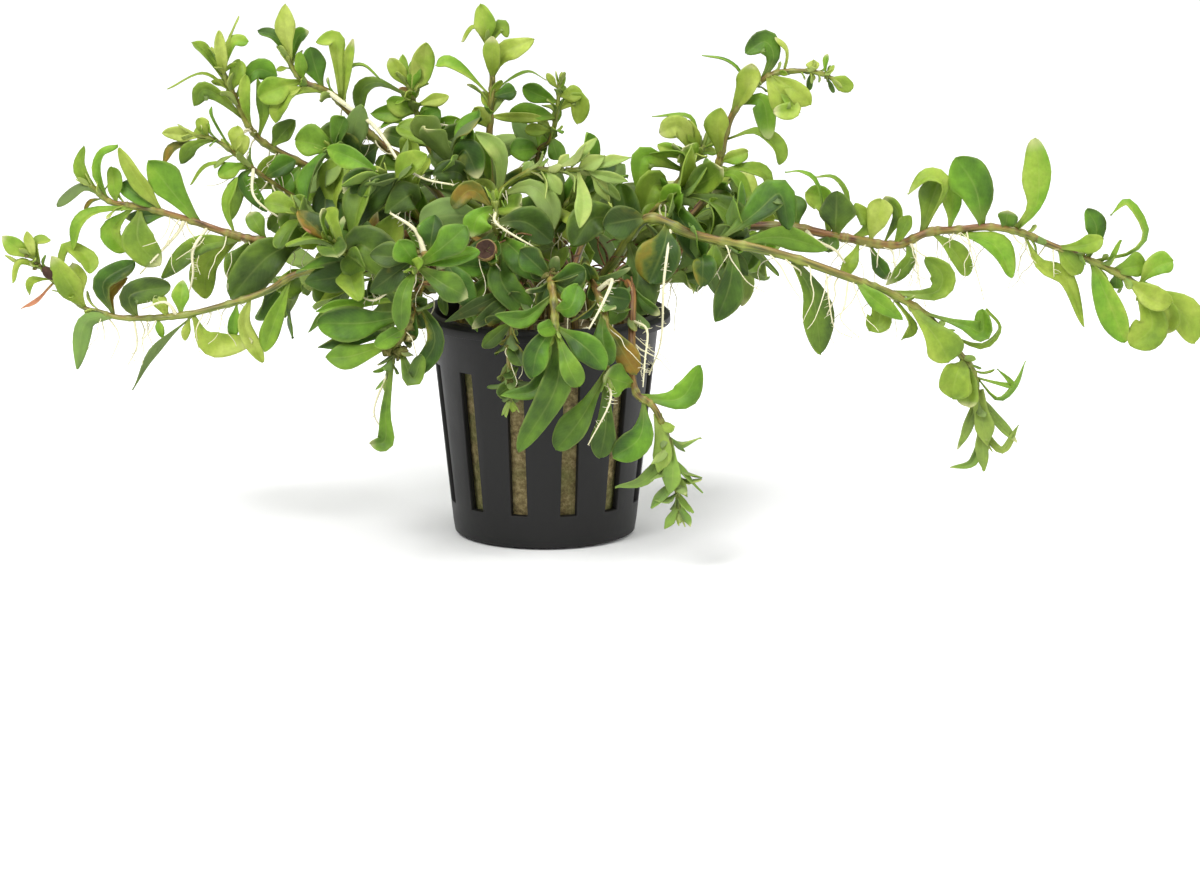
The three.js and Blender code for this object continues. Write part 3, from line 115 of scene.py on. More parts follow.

# Every shoot: its stem's route from the wool to its tip, its stem's radius at both ends, its
# leaves listed one by one as [station on the stem, width, turn, age, point, ...], its whorls as
# [station, leaf length, leaf width] and its roots as [station, radius, point, ...]. Turn 0 shows
# a leaf's face to the front. Age runs from 0, young, to 1, old, and past 1 a leaf withers.
SHOOTS = {
    "left_low": {
        "route": [
            [-12, 48, -4], [-22, 50, -10], [-36, 54, -16], [-49, 51.4, -18], [-55.6, 47.8, -18],
            [-64, 45, -17], [-73.5, 42.8, -16], [-84, 42.4, -14], [-89, 43.6, -13], [-93, 45, -12],
            [-99.8, 51.4, -12], [-103, 55.5, -12],
        ],
        "radii": [1.3, 0.6],
        "leaves": [
            [11, 3.6, 10, 0.2, [-108.6, 58.6, -12]], [11, 2.4, 20, 0.1, [-103.6, 59.6, -14]],
            [10.9, 1.6, 60, 0.2, [-108, 54.8, -10]],
            [10.5, 2.4, -50, 0.3, [-105, 53.6, -13], [-106.4, 49.4, -14]],
            [10, 1.8, -30, 0.4, [-102.5, 49.8, -14], [-103.2, 47, -14]],
            [10.6, 2.6, 40, 0.4, [-101.8, 57.4, -12], [-99, 58, -12]], [9, 5, 0, 0.5, [-98.6, 54.8, -15]],
            [9.2, 4.8, 0, 0.35, [-94.6, 53.4, -10]],
            [9.8, 4, 30, 0.3, [-96, 56.8, -11], [-91.5, 54.6, -12], [-91, 51.4, -13]],
            [9.9, 0.9, 0, 1.8, [-101.5, 46, -13], [-104.8, 44.2, -14]],
            [7.7, 4.6, 15, 1, [-88.4, 49.5, -13], [-82, 53.6, -12]],
            [7.7, 3, 0, 1.4, [-87, 47.5, -12], [-83.5, 50.5, -11]],
            [6.9, 5.4, 10, 1, [-83, 47, -15], [-75, 48.8, -14]],
            [7.7, 3.8, 190, 0.55, [-92, 41.4, -14], [-93.6, 32.2, -15]],
            [5.8, 3.4, 245, 0.9, [-77, 37, -17], [-82.6, 28, -18]],
            [5.85, 4.8, -10, 0.35, [-67, 37.8, -18], [-58.4, 37.8, -18]],
            [6.5, 1.8, 0, 0.4, [-76.6, 38.4, -16]], [5.9, 1.8, 0, 0.3, [-72, 37.8, -16]],
            [4.6, 3.4, 20, 0, [-60, 41, -18], [-56.4, 33.6, -18]], [4.9, 2.6, 0, 0.5, [-62.6, 38.2, -17]],
            [3.4, 4.2, 0, 0.5, [-54, 42, -19], [-56.2, 35.8, -19]], [6.3, 3, 0, 0.3, [-78, 46.8, -15]],
            [6.1, 3.4, 0, 0.35, [-72.4, 50, -14]], [2.2, 5, 10, 1, [-45, 57, -17]],
            [2.8, 6.5, 0, 1, [-42, 45.5, -19]], [1.6, 6.5, 0, 1, [-35, 46, -18]],
        ],
        "roots": [
            [6.8, 0.3, [-81.6, 37, -15], [-83.4, 33, -15]], [6, 0.5, [-76, 45.6, -17], [-80.6, 44.2, -17]],
        ],
    },
    "left_middle": {
        "route": [
            [-7, 48, 6], [-18, 55, 2], [-34, 59, -4], [-48, 57.5, -8], [-57.4, 58, -9], [-63.6, 59.4, -9],
            [-70, 61.6, -9], [-76.8, 63.6, -9], [-82.6, 64.8, -9], [-87.2, 65.8, -9], [-91, 69, -9],
        ],
        "radii": [1.4, 0.8],
        "leaves": [
            [4, 3.8, 0, 0.7, [-59, 63.6, -7]], [9, 3.2, 140, 1, [-92, 68.8, -9], [-97.6, 64.8, -9]],
            [9.5, 2.6, 10, 0.5, [-92.8, 72, -9], [-92.2, 76.8, -10]],
            [9.3, 3, 40, 0.4, [-89.6, 71, -10], [-88.8, 75.5, -11], [-85.4, 76.8, -11]],
            [9, 3.2, 0, 0.4, [-86.6, 72.6, -8]], [7.2, 3.8, 25, 0.3, [-81.5, 70, -11], [-85.2, 76.4, -12]],
            [7.3, 4, 0, 0.8, [-84.8, 69.4, -8]], [6.1, 6.4, 10, 0.5, [-74.5, 67.5, -10], [-79.4, 73.8, -11]],
            [7.9, 3.6, -45, 0.35, [-89.5, 64, -11], [-93.8, 61, -12], [-94.6, 55.6, -12]],
            [8, 6.8, 0, 0.65, [-81.4, 58, -12], [-77.2, 52.8, -12]],
            [8.2, 4, 0, 0.25, [-86.6, 60, -10], [-84, 55.5, -10]], [7, 3, 0, 0.9, [-84, 62.4, -8]],
            [4.6, 4.4, -10, 0.85, [-70, 56.4, -11], [-76.6, 50.4, -11]],
            [4.8, 5.6, 5, 0.45, [-67.4, 53.5, -7], [-68, 46.4, -7]], [4.3, 7, 0, 1, [-63, 50, -11]],
            [3.1, 8.4, 10, 1, [-55, 55, -14], [-63, 46.4, -14]],
            [5, 2.6, 30, 0.45, [-63.8, 65, -8], [-61.6, 70.5, -7]], [3, 6, 0, 0.75, [-53, 64, -10]],
            [2.4, 6, 0, 0.9, [-42, 66, -8]], [2, 7, 10, 1, [-38, 52, -10]], [1.6, 6, 0, 1, [-30, 66, -6]],
        ],
        "roots": [
            [6.3, 0.55, [-73.4, 59.5, -10], [-77, 55.5, -12], [-81, 51.2, -12]],
            [5.6, 0.5, [-70.4, 56, -12], [-70.4, 51, -12], [-71.8, 45.4, -12]],
        ],
    },
    "upper_left": {
        "route": [
            [-10, 48, 12], [-22, 56, 14], [-38, 68, 12], [-50, 74, 10], [-56.2, 77.4, 9], [-59.4, 81, 8],
            [-62, 86.4, 8], [-63.6, 89.4, 8], [-65.2, 94, 8],
        ],
        "radii": [1.3, 0.8],
        "leaves": [
            [7.3, 3, -45, 0.6, [-67.6, 95.5, 7], [-70.6, 97.6, 7]], [7.6, 2.6, 0, 0.1, [-65.2, 99.8, 5]],
            [8, 1.4, 60, 0.3, [-63, 98.6, 8], [-61.2, 102.8, 9]],
            [7.8, 3, 30, 0.25, [-62.6, 97.5, 7], [-59.4, 97.6, 7]],
            [7, 1.8, -70, 0.4, [-68.5, 91.4, 6], [-75.6, 88.2, 5]],
            [5.5, 4, 10, 0.7, [-65.4, 87, 6], [-68.6, 88, 5], [-70, 84.8, 5]],
            [6.9, 3.6, 0, 0.5, [-61, 94, 8]], [5, 2.6, 10, 0.2, [-60, 86, 6], [-59.8, 91, 6]],
            [6.4, 4.4, 10, 0.6, [-58, 92, 9], [-53.6, 91, 9]],
            [4.6, 2.8, 20, 0.7, [-56.4, 84, 7], [-57.6, 90.5, 7]], [3.6, 4, 0, 0.6, [-57, 70, 8]],
            [3, 5, 0, 0.6, [-54, 66, 8]], [4, 4, 0, 0.85, [-50, 82, 8]],
        ],
        "whorls": [[1.4, 12, 5], [2.1, 12, 5]],
        "roots": [[4.5, 0.4, [-60, 80, 7], [-62.4, 76, 7]]],
    },
    "small_left": {
        "route": [
            [-15, 48, 6], [-30, 56, 10], [-46, 64, 6], [-56, 70.5, 3], [-61, 74.4, 2], [-66, 78, 1],
            [-71, 79, 0],
        ],
        "radii": [1, 0.5],
        "leaves": [
            [3.7, 3.4, 0, 0.75, [-60.4, 70, 1], [-55.6, 63.6, 0]], [5.7, 3, 5, 0.1, [-76.6, 79.4, 0]],
            [5.6, 2.8, 0, 0.4, [-69.4, 82.4, 0]], [5.2, 2.8, -45, 1.3, [-74, 76.8, 0], [-76.8, 72.6, 0]],
            [5.3, 3, 10, 0.8, [-70.6, 76.6, -1], [-72.8, 73.2, -1]],
            [4.6, 1.4, 60, 0.5, [-66.6, 82.6, 1], [-66.8, 84.6, 1]], [4.5, 3, 0, 0.2, [-61.6, 80.8, 2]],
            [3.8, 1.4, -60, 0.4, [-67, 73.2, 0], [-71, 69, -1]], [4, 3.4, 0, 0.25, [-65.4, 70.8, 0]],
            [4.2, 3, 0, 0.2, [-60, 79, 0]], [3.2, 4.4, 0, 0.8, [-50, 74, 2]],
            [2.8, 4, 0, 0.7, [-61, 69, 2], [-63, 62, 1]], [2.4, 5, 0, 0.8, [-55, 60, 3]],
        ],
        "whorls": [[1.2, 11, 5]],
        "roots": [[3.4, 0.5, [-58, 66.4, -6], [-51, 61, -8]]],
    },
    "upper_left_arch": {
        "route": [
            [-6, 48, 13.5], [-14, 58, 16], [-24, 70, 12], [-33, 77.4, 10], [-36.6, 81, 9], [-40.2, 84.6, 8],
            [-43.2, 87.6, 8], [-47.8, 89.4, 8], [-50.4, 92.2, 8], [-51.4, 95, 8],
        ],
        "radii": [1.3, 0.8],
        "leaves": [
            [9, 4, 0, 0.1, [-52, 100, 6], [-52, 105.2, 6]],
            [8.8, 2.8, -40, 0.85, [-53.6, 98.5, 8], [-57.4, 99.8, 8]],
            [8.9, 3, 10, 0.7, [-49.6, 98.4, 9], [-47.4, 99.8, 9]],
            [6.6, 4.6, 0, 0.8, [-45.8, 92, 7], [-47, 96.6, 7]], [7.6, 2.6, 0, 0.4, [-49.2, 95.6, 6]],
            [5.6, 4, -30, 0.2, [-41.4, 94, 7], [-42, 98.2, 7], [-45.8, 97.6, 7]],
            [5.4, 2.6, 10, 0.2, [-40, 92, 8], [-38.4, 98.2, 8]],
            [5.3, 1.8, 70, 0.5, [-39.5, 91.6, 9], [-36.4, 93, 9], [-33, 90.2, 9]],
            [7.6, 5.8, 0, 0.3, [-53, 88.5, 6], [-57.4, 86.6, 5]],
            [6.4, 3.8, -30, 0.5, [-50.4, 87.8, 6], [-53.4, 84.4, 5], [-53.8, 81.4, 5]],
            [3.4, 5, 0, 0.95, [-40, 80, 8], [-45.6, 76, 8]], [3.2, 5.4, 0, 1.05, [-38.6, 72.6, 8]],
            [2.6, 5, 0, 0.5, [-26, 78, 9]],
        ],
        "whorls": [[1.3, 12, 5], [2, 12, 5]],
        "roots": [
            [6.1, 0.65, [-38.8, 84.2, 3], [-34.4, 81, -3], [-31.6, 77.4, -10], [-28.6, 73, -17],
             [-24, 70.2, -22], [-18.2, 69, -25]],
        ],
    },
    "top_left": {
        "route": [
            [-2.5, 48, 10], [-10, 58, 18], [-18, 70, 16], [-23.5, 77, 14], [-25.4, 82.4, 13],
            [-26.4, 86.4, 12], [-27.6, 89.6, 12],
        ],
        "radii": [1.2, 0.6],
        "leaves": [
            [6, 3.4, 0, 0.35, [-31, 94.4, 12]], [6, 1.8, 0, 0.4, [-28.6, 95, 13]],
            [5.8, 5, 0, 0, [-24.6, 91, 11], [-23.8, 97.4, 10]], [5.8, 3, 0, 0.5, [-26, 94, 12]],
            [5.4, 3.8, -35, 0.85, [-33, 89.6, 11], [-36.8, 88, 11], [-37.2, 83, 11]],
            [5, 2.8, 10, 0.25, [-19.2, 86.8, 12]], [4.6, 4.2, 0, 0.2, [-31.6, 86, 12]],
            [4.6, 3.8, 0, 0.4, [-34.8, 83.4, 13]], [4.2, 4.6, 0, 0.65, [-21, 84, 11]],
            [4, 2.8, 0, 0.5, [-16.6, 81.8, 13]], [3.8, 1.8, -50, 0.5, [-30, 82, 12], [-33, 80.4, 12]],
            [3.2, 4.6, 0, 1, [-32.4, 79.4, 11]], [2.8, 5, 0, 1, [-15, 78, 12]],
        ],
        "whorls": [[1.3, 12, 5], [2, 12, 5]],
        "roots": [[4, 0.3, [-20, 81, 11], [-14.4, 80.6, 11]]],
    },
    "top_middle": {
        "route": [
            [1, 48, 6], [-7, 56, 6], [-11, 70, 4], [-11, 82, 4], [-10.6, 88.2, 4], [-10.6, 91.8, 4],
            [-11.6, 98, 4],
        ],
        "radii": [1.3, 0.8],
        "leaves": [
            [6, 4.2, 0, 0.15, [-12, 101, 3], [-12.8, 105.2, 3]],
            [6, 2.2, -60, 0.4, [-14, 100.6, 4], [-16.6, 97.6, 4]],
            [6, 3, 30, 0.6, [-8.8, 100.6, 4], [-7.4, 98.6, 4]], [5, 3.6, 0, 0.3, [-10.6, 98.6, 1]],
            [5.1, 4.4, 15, 0.2, [-8, 95.6, 3], [-2.2, 98.2, 3]],
            [4, 3, -40, 0.2, [-15, 91, 3], [-19.4, 93.8, 3], [-21.8, 93, 3]],
            [4, 3.4, 5, 0.85, [-5.8, 87.8, 3]],
            [4, 1.2, 70, 0.5, [-8, 89.6, 5], [-3.4, 91.8, 6], [0.4, 90, 6]],
            [3, 3.8, 5, 0.3, [-14.2, 84.4, 2]], [2, 4.4, 10, 0.35, [-13, 76, 0], [-17, 78, 0]],
            [2.6, 4.6, 0, 1, [-17, 79, 5], [-22, 75, 5]], [2.2, 4.4, 0, 0.8, [-18, 72, 5]],
        ],
        "whorls": [[1.2, 12, 5], [1.7, 12, 5]],
    },
    "top_small": {
        "route": [[7, 48, 11], [2, 58, 16], [-1.6, 74, 15], [1, 78, 13], [2.4, 83.6, 12], [2.8, 89.6, 12]],
        "radii": [1.1, 0.5],
        "leaves": [
            [5, 1.6, 0, 0.3, [0.4, 91.4, 12]], [5, 1.4, 0, 0.3, [4, 91, 12]],
            [4.6, 3.8, 10, 0.5, [-4.4, 88.4, 11]], [4.1, 4.2, 0, 0.45, [-7, 83.4, 10]],
            [4, 2.2, 0, 0.3, [-10.4, 82.8, 9]], [4.8, 3.6, 0, 0.3, [7.6, 87.2, 11]],
            [4.3, 3.8, 0, 0.4, [6.4, 86, 11], [6.6, 81.2, 11]], [3.4, 3.8, 0, 0.7, [2.6, 74, 11]],
            [2.6, 5, 0, 0.5, [-7, 76, 10]], [3.6, 2.8, 0, 0.5, [-4, 80, 11]],
        ],
        "whorls": [[1.3, 12, 5], [1.9, 12, 5]],
    },
    "pale_right": {
        "route": [
            [3, 48, -2], [-5, 56, -6], [-9, 66.5, -10], [-3.2, 71.6, -13], [2, 72, -14], [7, 72, -14],
            [10.5, 72, -14],
        ],
        "radii": [1.2, 0.7],
        "leaves": [
            [4.9, 3, 20, 0.16, [10.4, 78.4, -15]], [5.2, 4.2, 0, 0.2, [12, 74.8, -15]],
            [5.7, 2.8, 15, 0.22, [17.2, 74.6, -14]], [5.7, 3, -15, 0.35, [16.6, 69.8, -15]],
            [5.3, 4.4, 10, 0.2, [7.8, 66, -22], [7, 60.4, -26]],
            [2.2, 6.2, 10, 0.5, [-3, 69, -15], [1.2, 65, -17], [1.6, 59.6, -18]],
            [2.1, 4.6, 10, 0.35, [-9, 75, -13], [-14, 79.6, -13]], [4, 4, 0, 0.3, [3, 67, -16]],
            [3, 3.2, 0, 0.5, [-2.6, 73.8, -12]], [4.3, 2.4, 0, 0.2, [4.8, 75.2, -13]],
            [6, 3.2, 0, 0.2, [13, 65.6, -13]], [6, 2.8, 0, 0.5, [15, 66, -12]],
        ],
        "whorls": [[1.4, 11, 5]],
    },
    "right_top_arch": {
        "route": [
            [13.5, 48, 4.5], [22, 56, 6], [32, 66, 6], [34.4, 72, 6], [35.4, 76, 6], [37, 82, 6],
            [40, 87, 6], [43, 89.6, 6], [46.2, 91.4, 6], [51.6, 91.8, 6], [55.4, 91.2, 6], [58, 90, 6],
        ],
        "radii": [1.4, 0.6],
        "leaves": [
            [4, 4.8, 0, 0.4, [34.6, 80, 3], [35, 84.4, 3]],
            [5.4, 5, 0, 0.35, [40.6, 88.6, 4], [41.4, 93.2, 4]],
            [5.6, 1.6, -70, 0.4, [39.4, 90.4, 6], [36.6, 93.8, 6], [31.4, 95, 6]],
            [7.6, 5, -15, 0.8, [45.8, 94.6, 6], [44, 97.8, 6], [40, 95.4, 6]],
            [8.6, 1.8, -60, 0.25, [48.4, 95.8, 6], [46, 98.6, 6]],
            [5.9, 4.2, 0, 0.55, [43.4, 86, 4], [45, 78.2, 3]], [8, 6, 0, 0.3, [47, 87.5, 3], [51, 83.6, 3]],
            [8.1, 4.4, 0, 0.25, [50, 88, 2], [53, 85, 2]], [8, 3.6, 0, 0.15, [50, 84.4, 1], [45.8, 83.6, 1]],
            [4.6, 4.2, 45, 0.4, [42, 79.8, 5], [46, 77, 4], [47, 73, 4]], [10, 2.8, 0, 0, [53.6, 94, 6]],
            [10.8, 1.2, 30, 0.4, [56.4, 95.2, 6]], [11, 1, 0, 0.3, [57.8, 93, 6]],
            [10.9, 1, 0, 0.9, [57.8, 87.4, 6]], [11, 3.2, 0, 0.3, [61.6, 88.2, 6]],
            [9.8, 1.4, 0, 0.9, [52.8, 88, 5]], [3.8, 3.2, 0, 0.1, [40.6, 75.6, 5]],
            [3.4, 3.6, 40, 0.45, [40, 72.6, 4], [44.4, 71, 4], [44.4, 66, 4]],
            [3, 2.8, 30, 0.5, [38, 71, 3], [41.6, 65, 3]],
        ],
        "whorls": [[1.4, 12, 5], [2.1, 12, 5]],
    },
    "yellow_tuft": {
        "route": [[10.5, 48, 7], [16, 56, 10], [24, 66, 9], [29, 73, 8], [32, 77, 8]],
        "radii": [1.2, 0.7],
        "leaves": [
            [3, 4.8, 0, 0.3, [20, 74.8, 5], [18.8, 67.6, 4]],
            [4, 1.4, -60, 0.5, [29, 82.6, 8], [21.4, 82.8, 8]], [4, 2.8, 0, 0.35, [28.8, 82, 7]],
            [3.7, 4.8, 0, 0.05, [27, 80.6, 6], [23, 79.4, 6]], [3.6, 3, 0, 0.1, [22.6, 77, 5]],
            [3.5, 5.4, 0, 0.2, [27.8, 76.4, 4]], [3, 3, 60, 0.4, [27, 75, 4], [21, 75.2, 4]],
            [2.4, 6.6, 0, 0.5, [22, 69, 3], [19.5, 63.6, 2]], [2.8, 3.2, 0, 0.6, [29.6, 69.6, 5]],
            [2.2, 3.8, 0, 0.4, [22.4, 70.4, 4]], [2, 6, 0, 0.9, [28, 61, 3]],
        ],
        "whorls": [[1.2, 12, 5], [1.7, 12, 5]],
    },
    "right_long_low": {
        "route": [
            [10, 48, -8], [14, 54, -14], [20.2, 62.2, -18], [28.6, 59.4, -20], [34.8, 57.8, -20],
            [42.8, 56.2, -20], [50.8, 54, -20], [59.4, 51, -20], [64.8, 49, -20], [70.2, 46.8, -20],
            [76.6, 42.6, -20], [82.8, 35.4, -20], [85.6, 31.4, -20], [86.6, 25, -20], [87.6, 18, -20],
        ],
        "radii": [1.6, 0.9],
        "leaves": [
            [4.6, 4.4, 0, 0.6, [47, 58.6, -17], [56.6, 56, -16]], [2.2, 6.8, 0, 1.08, [11.6, 61, -21]],
            [2.7, 9, 0, 1.1, [23.6, 56, -23], [20.8, 49.4, -24]],
            [1.6, 8.5, 0, 1.05, [18.6, 50, -22], [16, 43.6, -22]], [4.1, 3.8, 0, 0.8, [33.6, 51.6, -21]],
            [4.6, 5.6, 10, 0.95, [37, 49, -22], [34.2, 41.6, -22]],
            [4.2, 6.6, 20, 0.85, [42, 63.4, -18], [47, 67.4, -17], [48.8, 60, -17]],
            [6, 6, 5, 0.95, [53.6, 46.6, -20], [55.2, 35.2, -20]],
            [8.2, 5, 0, 0.55, [67, 43, -20], [65, 39.8, -21]],
            [7.8, 3.6, 0, 0.5, [66, 46, -23], [71.6, 42.2, -23]],
            [9, 2.4, 40, 0.6, [73.6, 41.2, -20], [71.4, 38, -20]],
            [9, 5, 20, 0.7, [77.6, 47.4, -19], [79.4, 51, -19], [76, 54.4, -19]],
            [9.6, 7.2, 0, 0.56, [78.6, 38, -24], [80.8, 33.6, -24]],
            [10, 4.6, 20, 0.6, [84, 41, -22], [87.4, 39.8, -22], [87.4, 44.2, -22]],
            [10.6, 2.6, -60, 0.6, [87.4, 36.8, -18], [91, 40.4, -18], [88.2, 44.2, -18]],
            [11.6, 7, 0, 0.56, [82.4, 31, -24], [81.4, 26.4, -24]], [12, 4.6, 0, 0.6, [84.6, 24.6, -24]],
            [12.3, 2.4, -60, 0.45, [90.4, 26.2, -20], [94, 29, -20], [96.2, 33.8, -20]],
            [12.4, 1.2, 0, 0.5, [93.2, 29, -22], [90.4, 32.2, -22]],
            [13, 2, 0, 0.7, [84.4, 20, -21], [82.4, 16.2, -21]],
            [14, 1.8, 0, 0.6, [85.6, 13.6, -20], [81, 12.6, -20]],
            [13, 2.4, 20, 0.65, [91, 21.4, -20], [94.4, 17.6, -20]],
            [13.9, 2.4, -50, 0.55, [91.4, 16, -20], [94.8, 21, -20]], [14, 2.8, 0, 0.55, [87.8, 11.8, -21]],
            [12.8, 3.8, 0, 0.55, [87.4, 22, -22], [88.6, 17, -22]],
        ],
        "roots": [
            [6.6, 0.25, [56.8, 46, -22], [58, 40.4, -22], [61.6, 38.4, -22]],
            [7.2, 0.25, [60, 45, -22], [59.2, 42, -22], [63.6, 37.8, -22]],
            [2.6, 0.45, [23.8, 50, -26], [23.2, 38, -26], [20.8, 31, -26]],
        ],
    },
    "right_long_high": {
        "route": [
            [14, 48, 0], [24, 54, 0], [36, 60, -2], [48, 60.6, -4], [57, 59, -6], [61.4, 58.2, -6],
            [70, 57, -6], [76.8, 59.6, -6], [82.4, 60, -6], [88.6, 60.6, -6], [94.8, 59.6, -6],
            [101.6, 56.8, -6], [109.2, 53.8, -6], [116.2, 50.4, -6], [121, 47.5, -6],
        ],
        "radii": [1.5, 0.9],
        "leaves": [
            [3.2, 3, 0, 0.3, [51.6, 57, -6]],
            [4.2, 1.6, -60, 0.4, [54.6, 69, -6], [51.5, 71.8, -6], [48, 71.6, -6]],
            [4.8, 1.8, -60, 0.6, [60.6, 66, -4], [58, 70.6, -4], [53.4, 70.6, -4]],
            [4.3, 5.2, 0, 0.2, [56, 65.6, -4], [52.2, 67.6, -4]], [4.6, 7, 0, 1, [58.4, 67.8, -9]],
            [4.3, 5, 0, 0.95, [56.6, 55.6, -9]], [5.2, 3.6, -20, 0.6, [64.8, 61, -7], [62, 65.4, -7]],
            [5.4, 3, 0, 0.5, [61.2, 54, -9], [59.4, 51, -9]],
            [5.6, 5.2, 0, 0.2, [66.4, 62, -8], [67.2, 66.2, -8]],
            [5.9, 2.8, 20, 0.85, [70.6, 63, -7], [68, 66.6, -7]], [6.2, 3, 0, 0.6, [73, 62.8, -7]],
            [7, 5.4, 0, 0.75, [77.4, 66, -7], [79, 70.2, -7]],
            [7.1, 3.4, -40, 0.3, [80, 68.6, -9], [76.4, 70.8, -9], [72.6, 67.2, -9]],
            [8, 3.8, 0, 0.3, [81.6, 65, -5], [80.4, 70.8, -5]],
            [9.1, 8.4, 0, 0.62, [86, 68.6, -8], [82.2, 74.4, -8]],
            [10.1, 5.6, 0, 0.2, [98.2, 65, -7], [98.8, 71.6, -7], [98, 78.4, -7]],
            [9.8, 4.2, 0, 0.8, [92.6, 63.8, -7]], [12.1, 4.4, 0, 0.7, [110.4, 60, -7], [108.4, 64.2, -7]],
            [11.3, 3.6, 0, 0.35, [108, 57, -9], [111.6, 58.4, -9]],
            [12.2, 3.2, -60, 0.25, [117, 55.4, -5], [120, 59.6, -5], [116.6, 65.6, -5], [113, 63, -5]],
            [12.6, 1.2, 0, 0.5, [115.2, 58, -7]], [13.8, 5, 0, 0.3, [122, 52.4, -7], [125.6, 53.8, -7]],
            [12.8, 4.8, 0, 0.5, [120.4, 53.2, -5]],
            [13.1, 5.2, 0, 0.25, [121, 46.4, -10], [125.4, 45.4, -10]],
            [13.6, 7, 0, 0.5, [121.6, 41.4, -9], [117.2, 36.8, -9]],
            [14, 3.6, 0, 0.4, [124.8, 44, -7], [123.8, 39.2, -7]],
            [12.2, 5.8, 0, 0.3, [112.2, 47, -8], [116, 37.6, -8]],
            [14, 6.2, 0, 0.3, [127, 44, -6], [130, 37.4, -6]], [12.9, 3, 0, 0.7, [114.4, 48.4, -6]],
            [11.3, 4.2, 0, 0.7, [106.8, 51.2, -7]],
            [10.4, 4, 25, 0.35, [99, 53, -7], [104.6, 50, -7], [107.8, 40.6, -7]],
            [8.1, 4.8, 30, 0.3, [90, 57, -8], [93.4, 50.4, -8]],
            [7.3, 4, 0, 0.6, [82, 55.6, -8], [84.6, 50.8, -8]],
            [6.5, 3, 0, 0.8, [73, 54, -8], [68.2, 49, -8]],
            [5.6, 3, 0, 0.85, [66.8, 53, -7], [68.8, 50.2, -7]], [3.4, 4, 0, 0.9, [50, 67, -3]],
            [2.8, 5, 0, 0.9, [40, 52, -5]], [2.2, 5, 0, 0.9, [34, 68, -3]],
        ],
        "roots": [
            [8.3, 0.25, [85.4, 55, -9], [87.8, 46, -9]], [6.6, 0.25, [74.4, 52, -9], [76.2, 44.4, -9]],
            [11, 0.25, [101.8, 50.6, -8]], [3.4, 0.6, [54, 58, -9], [58, 56, -10], [60, 53.4, -10]],
        ],
    },
    "front_left_rosette": {
        "route": [[-10, 48, -9], [-17, 54, -22], [-24, 55, -33], [-26.2, 52, -38]],
        "radii": [1.3, 1],
        "leaves": [
            [3, 4.8, 0, 0.55, [-29.2, 57.9, -40.4]], [3, 5.8, 0, 0.65, [-20, 57, -43], [-15.8, 60.8, -42]],
            [3, 4, 0, 0.55, [-13, 55.6, -42]], [3, 3.8, 0, 0.65, [-28.4, 47, -42], [-28.8, 40, -42]],
            [3, 5.4, 0, 0.8, [-20, 49, -42], [-15.4, 46.6, -42]], [3, 2.4, 0, 0.3, [-24.6, 54, -43]],
            [2.7, 5, 0, 1, [-35, 55, -36]], [2.4, 5, 0, 1, [-35, 47.6, -35]], [2, 5, 0, 0.9, [-22, 63, -30]],
            [1.6, 5, 0, 0.9, [-14, 44, -32]],
        ],
        "roots": [[2, 0.75, [-26, 60, -31], [-31, 63.4, -28]], [2.4, 0.4, [-34, 46, -34], [-40, 50, -28]]],
    },
    "front_middle_rosette": {
        "route": [[2, 48, -14], [1, 51, -28], [1.6, 47, -38], [2.2, 39.4, -44]],
        "radii": [1.4, 1],
        "leaves": [
            [2.6, 5, 0, 0.55, [5, 44.6, -46], [6.6, 49, -44]],
            [3, 5.6, 0, 0.75, [8, 36.6, -48], [12, 32, -47]],
            [3, 4.4, 0, 0.65, [4.6, 33, -49], [6.8, 28.6, -48]],
            [3, 5, 0, 0.75, [-1.4, 36, -48], [-2.6, 30.4, -47]], [3, 3.4, 0, 0.5, [-1.4, 40, -48]],
            [2.8, 3.6, 0, 0.75, [-1, 29, -44], [-8.8, 27, -44]],
            [2.2, 3.4, 0, 0.65, [-4, 42.4, -42], [-10, 43, -42]],
            [3, 6, 10, 0.85, [2.4, 29, -46], [-5.4, 15.6, -46]], [1.7, 5, 0, 0.9, [8, 52, -36]],
            [1.5, 5, 0, 0.9, [-5, 56, -32]],
        ],
    },
    "front_lower": {
        "route": [[6, 48, -13], [9, 50, -27], [12, 42, -36], [12.4, 30, -40]],
        "radii": [1.3, 0.9],
        "leaves": [
            [3, 5.6, 0, 0.8, [7.4, 22.6, -43], [2.2, 16, -43]],
            [3, 4.8, 0, 0.85, [12.2, 21, -41], [11, 14.4, -41]],
            [2, 4.6, 0, 0.8, [11.6, 38, -42], [13, 33, -42]],
            [2.2, 4.6, 0, 1.35, [15.6, 35.6, -38], [18.4, 31.2, -38]], [1.6, 5, 0, 0.9, [17, 46, -33]],
        ],
        "roots": [
            [1.4, 0.6, [13.4, 50, -34], [11.6, 45.4, -42], [8.8, 40.2, -46]],
            [3, 0.4, [13, 25.6, -44], [8.6, 17, -45]],
        ],
    },
    "front_drooping": {
        "route": [
            [12, 48, -13], [17, 49, -24], [17.4, 40, -31], [17.4, 32, -35], [18.4, 27.2, -38],
            [21.4, 25, -39], [23.2, 21.8, -39], [24.8, 17.4, -39], [25.4, 13, -38], [26.4, 8.2, -38],
            [26.8, 3.4, -38],
        ],
        "radii": [1.3, 0.7],
        "leaves": [
            [4.5, 5, 12, 0.47, [27, 26.4, -39], [31, 33, -39]],
            [4.9, 6, 0, 0.72, [19, 18.6, -42], [13.6, 14.6, -42]],
            [6, 3.6, 0, 0.4, [23.4, 15, -41], [22.6, 11.4, -41]],
            [7.4, 2.4, 10, 0.62, [20, 10, -40], [14, 8.6, -40]], [9, 2.2, 0, 0.62, [21.2, 4.4, -40]],
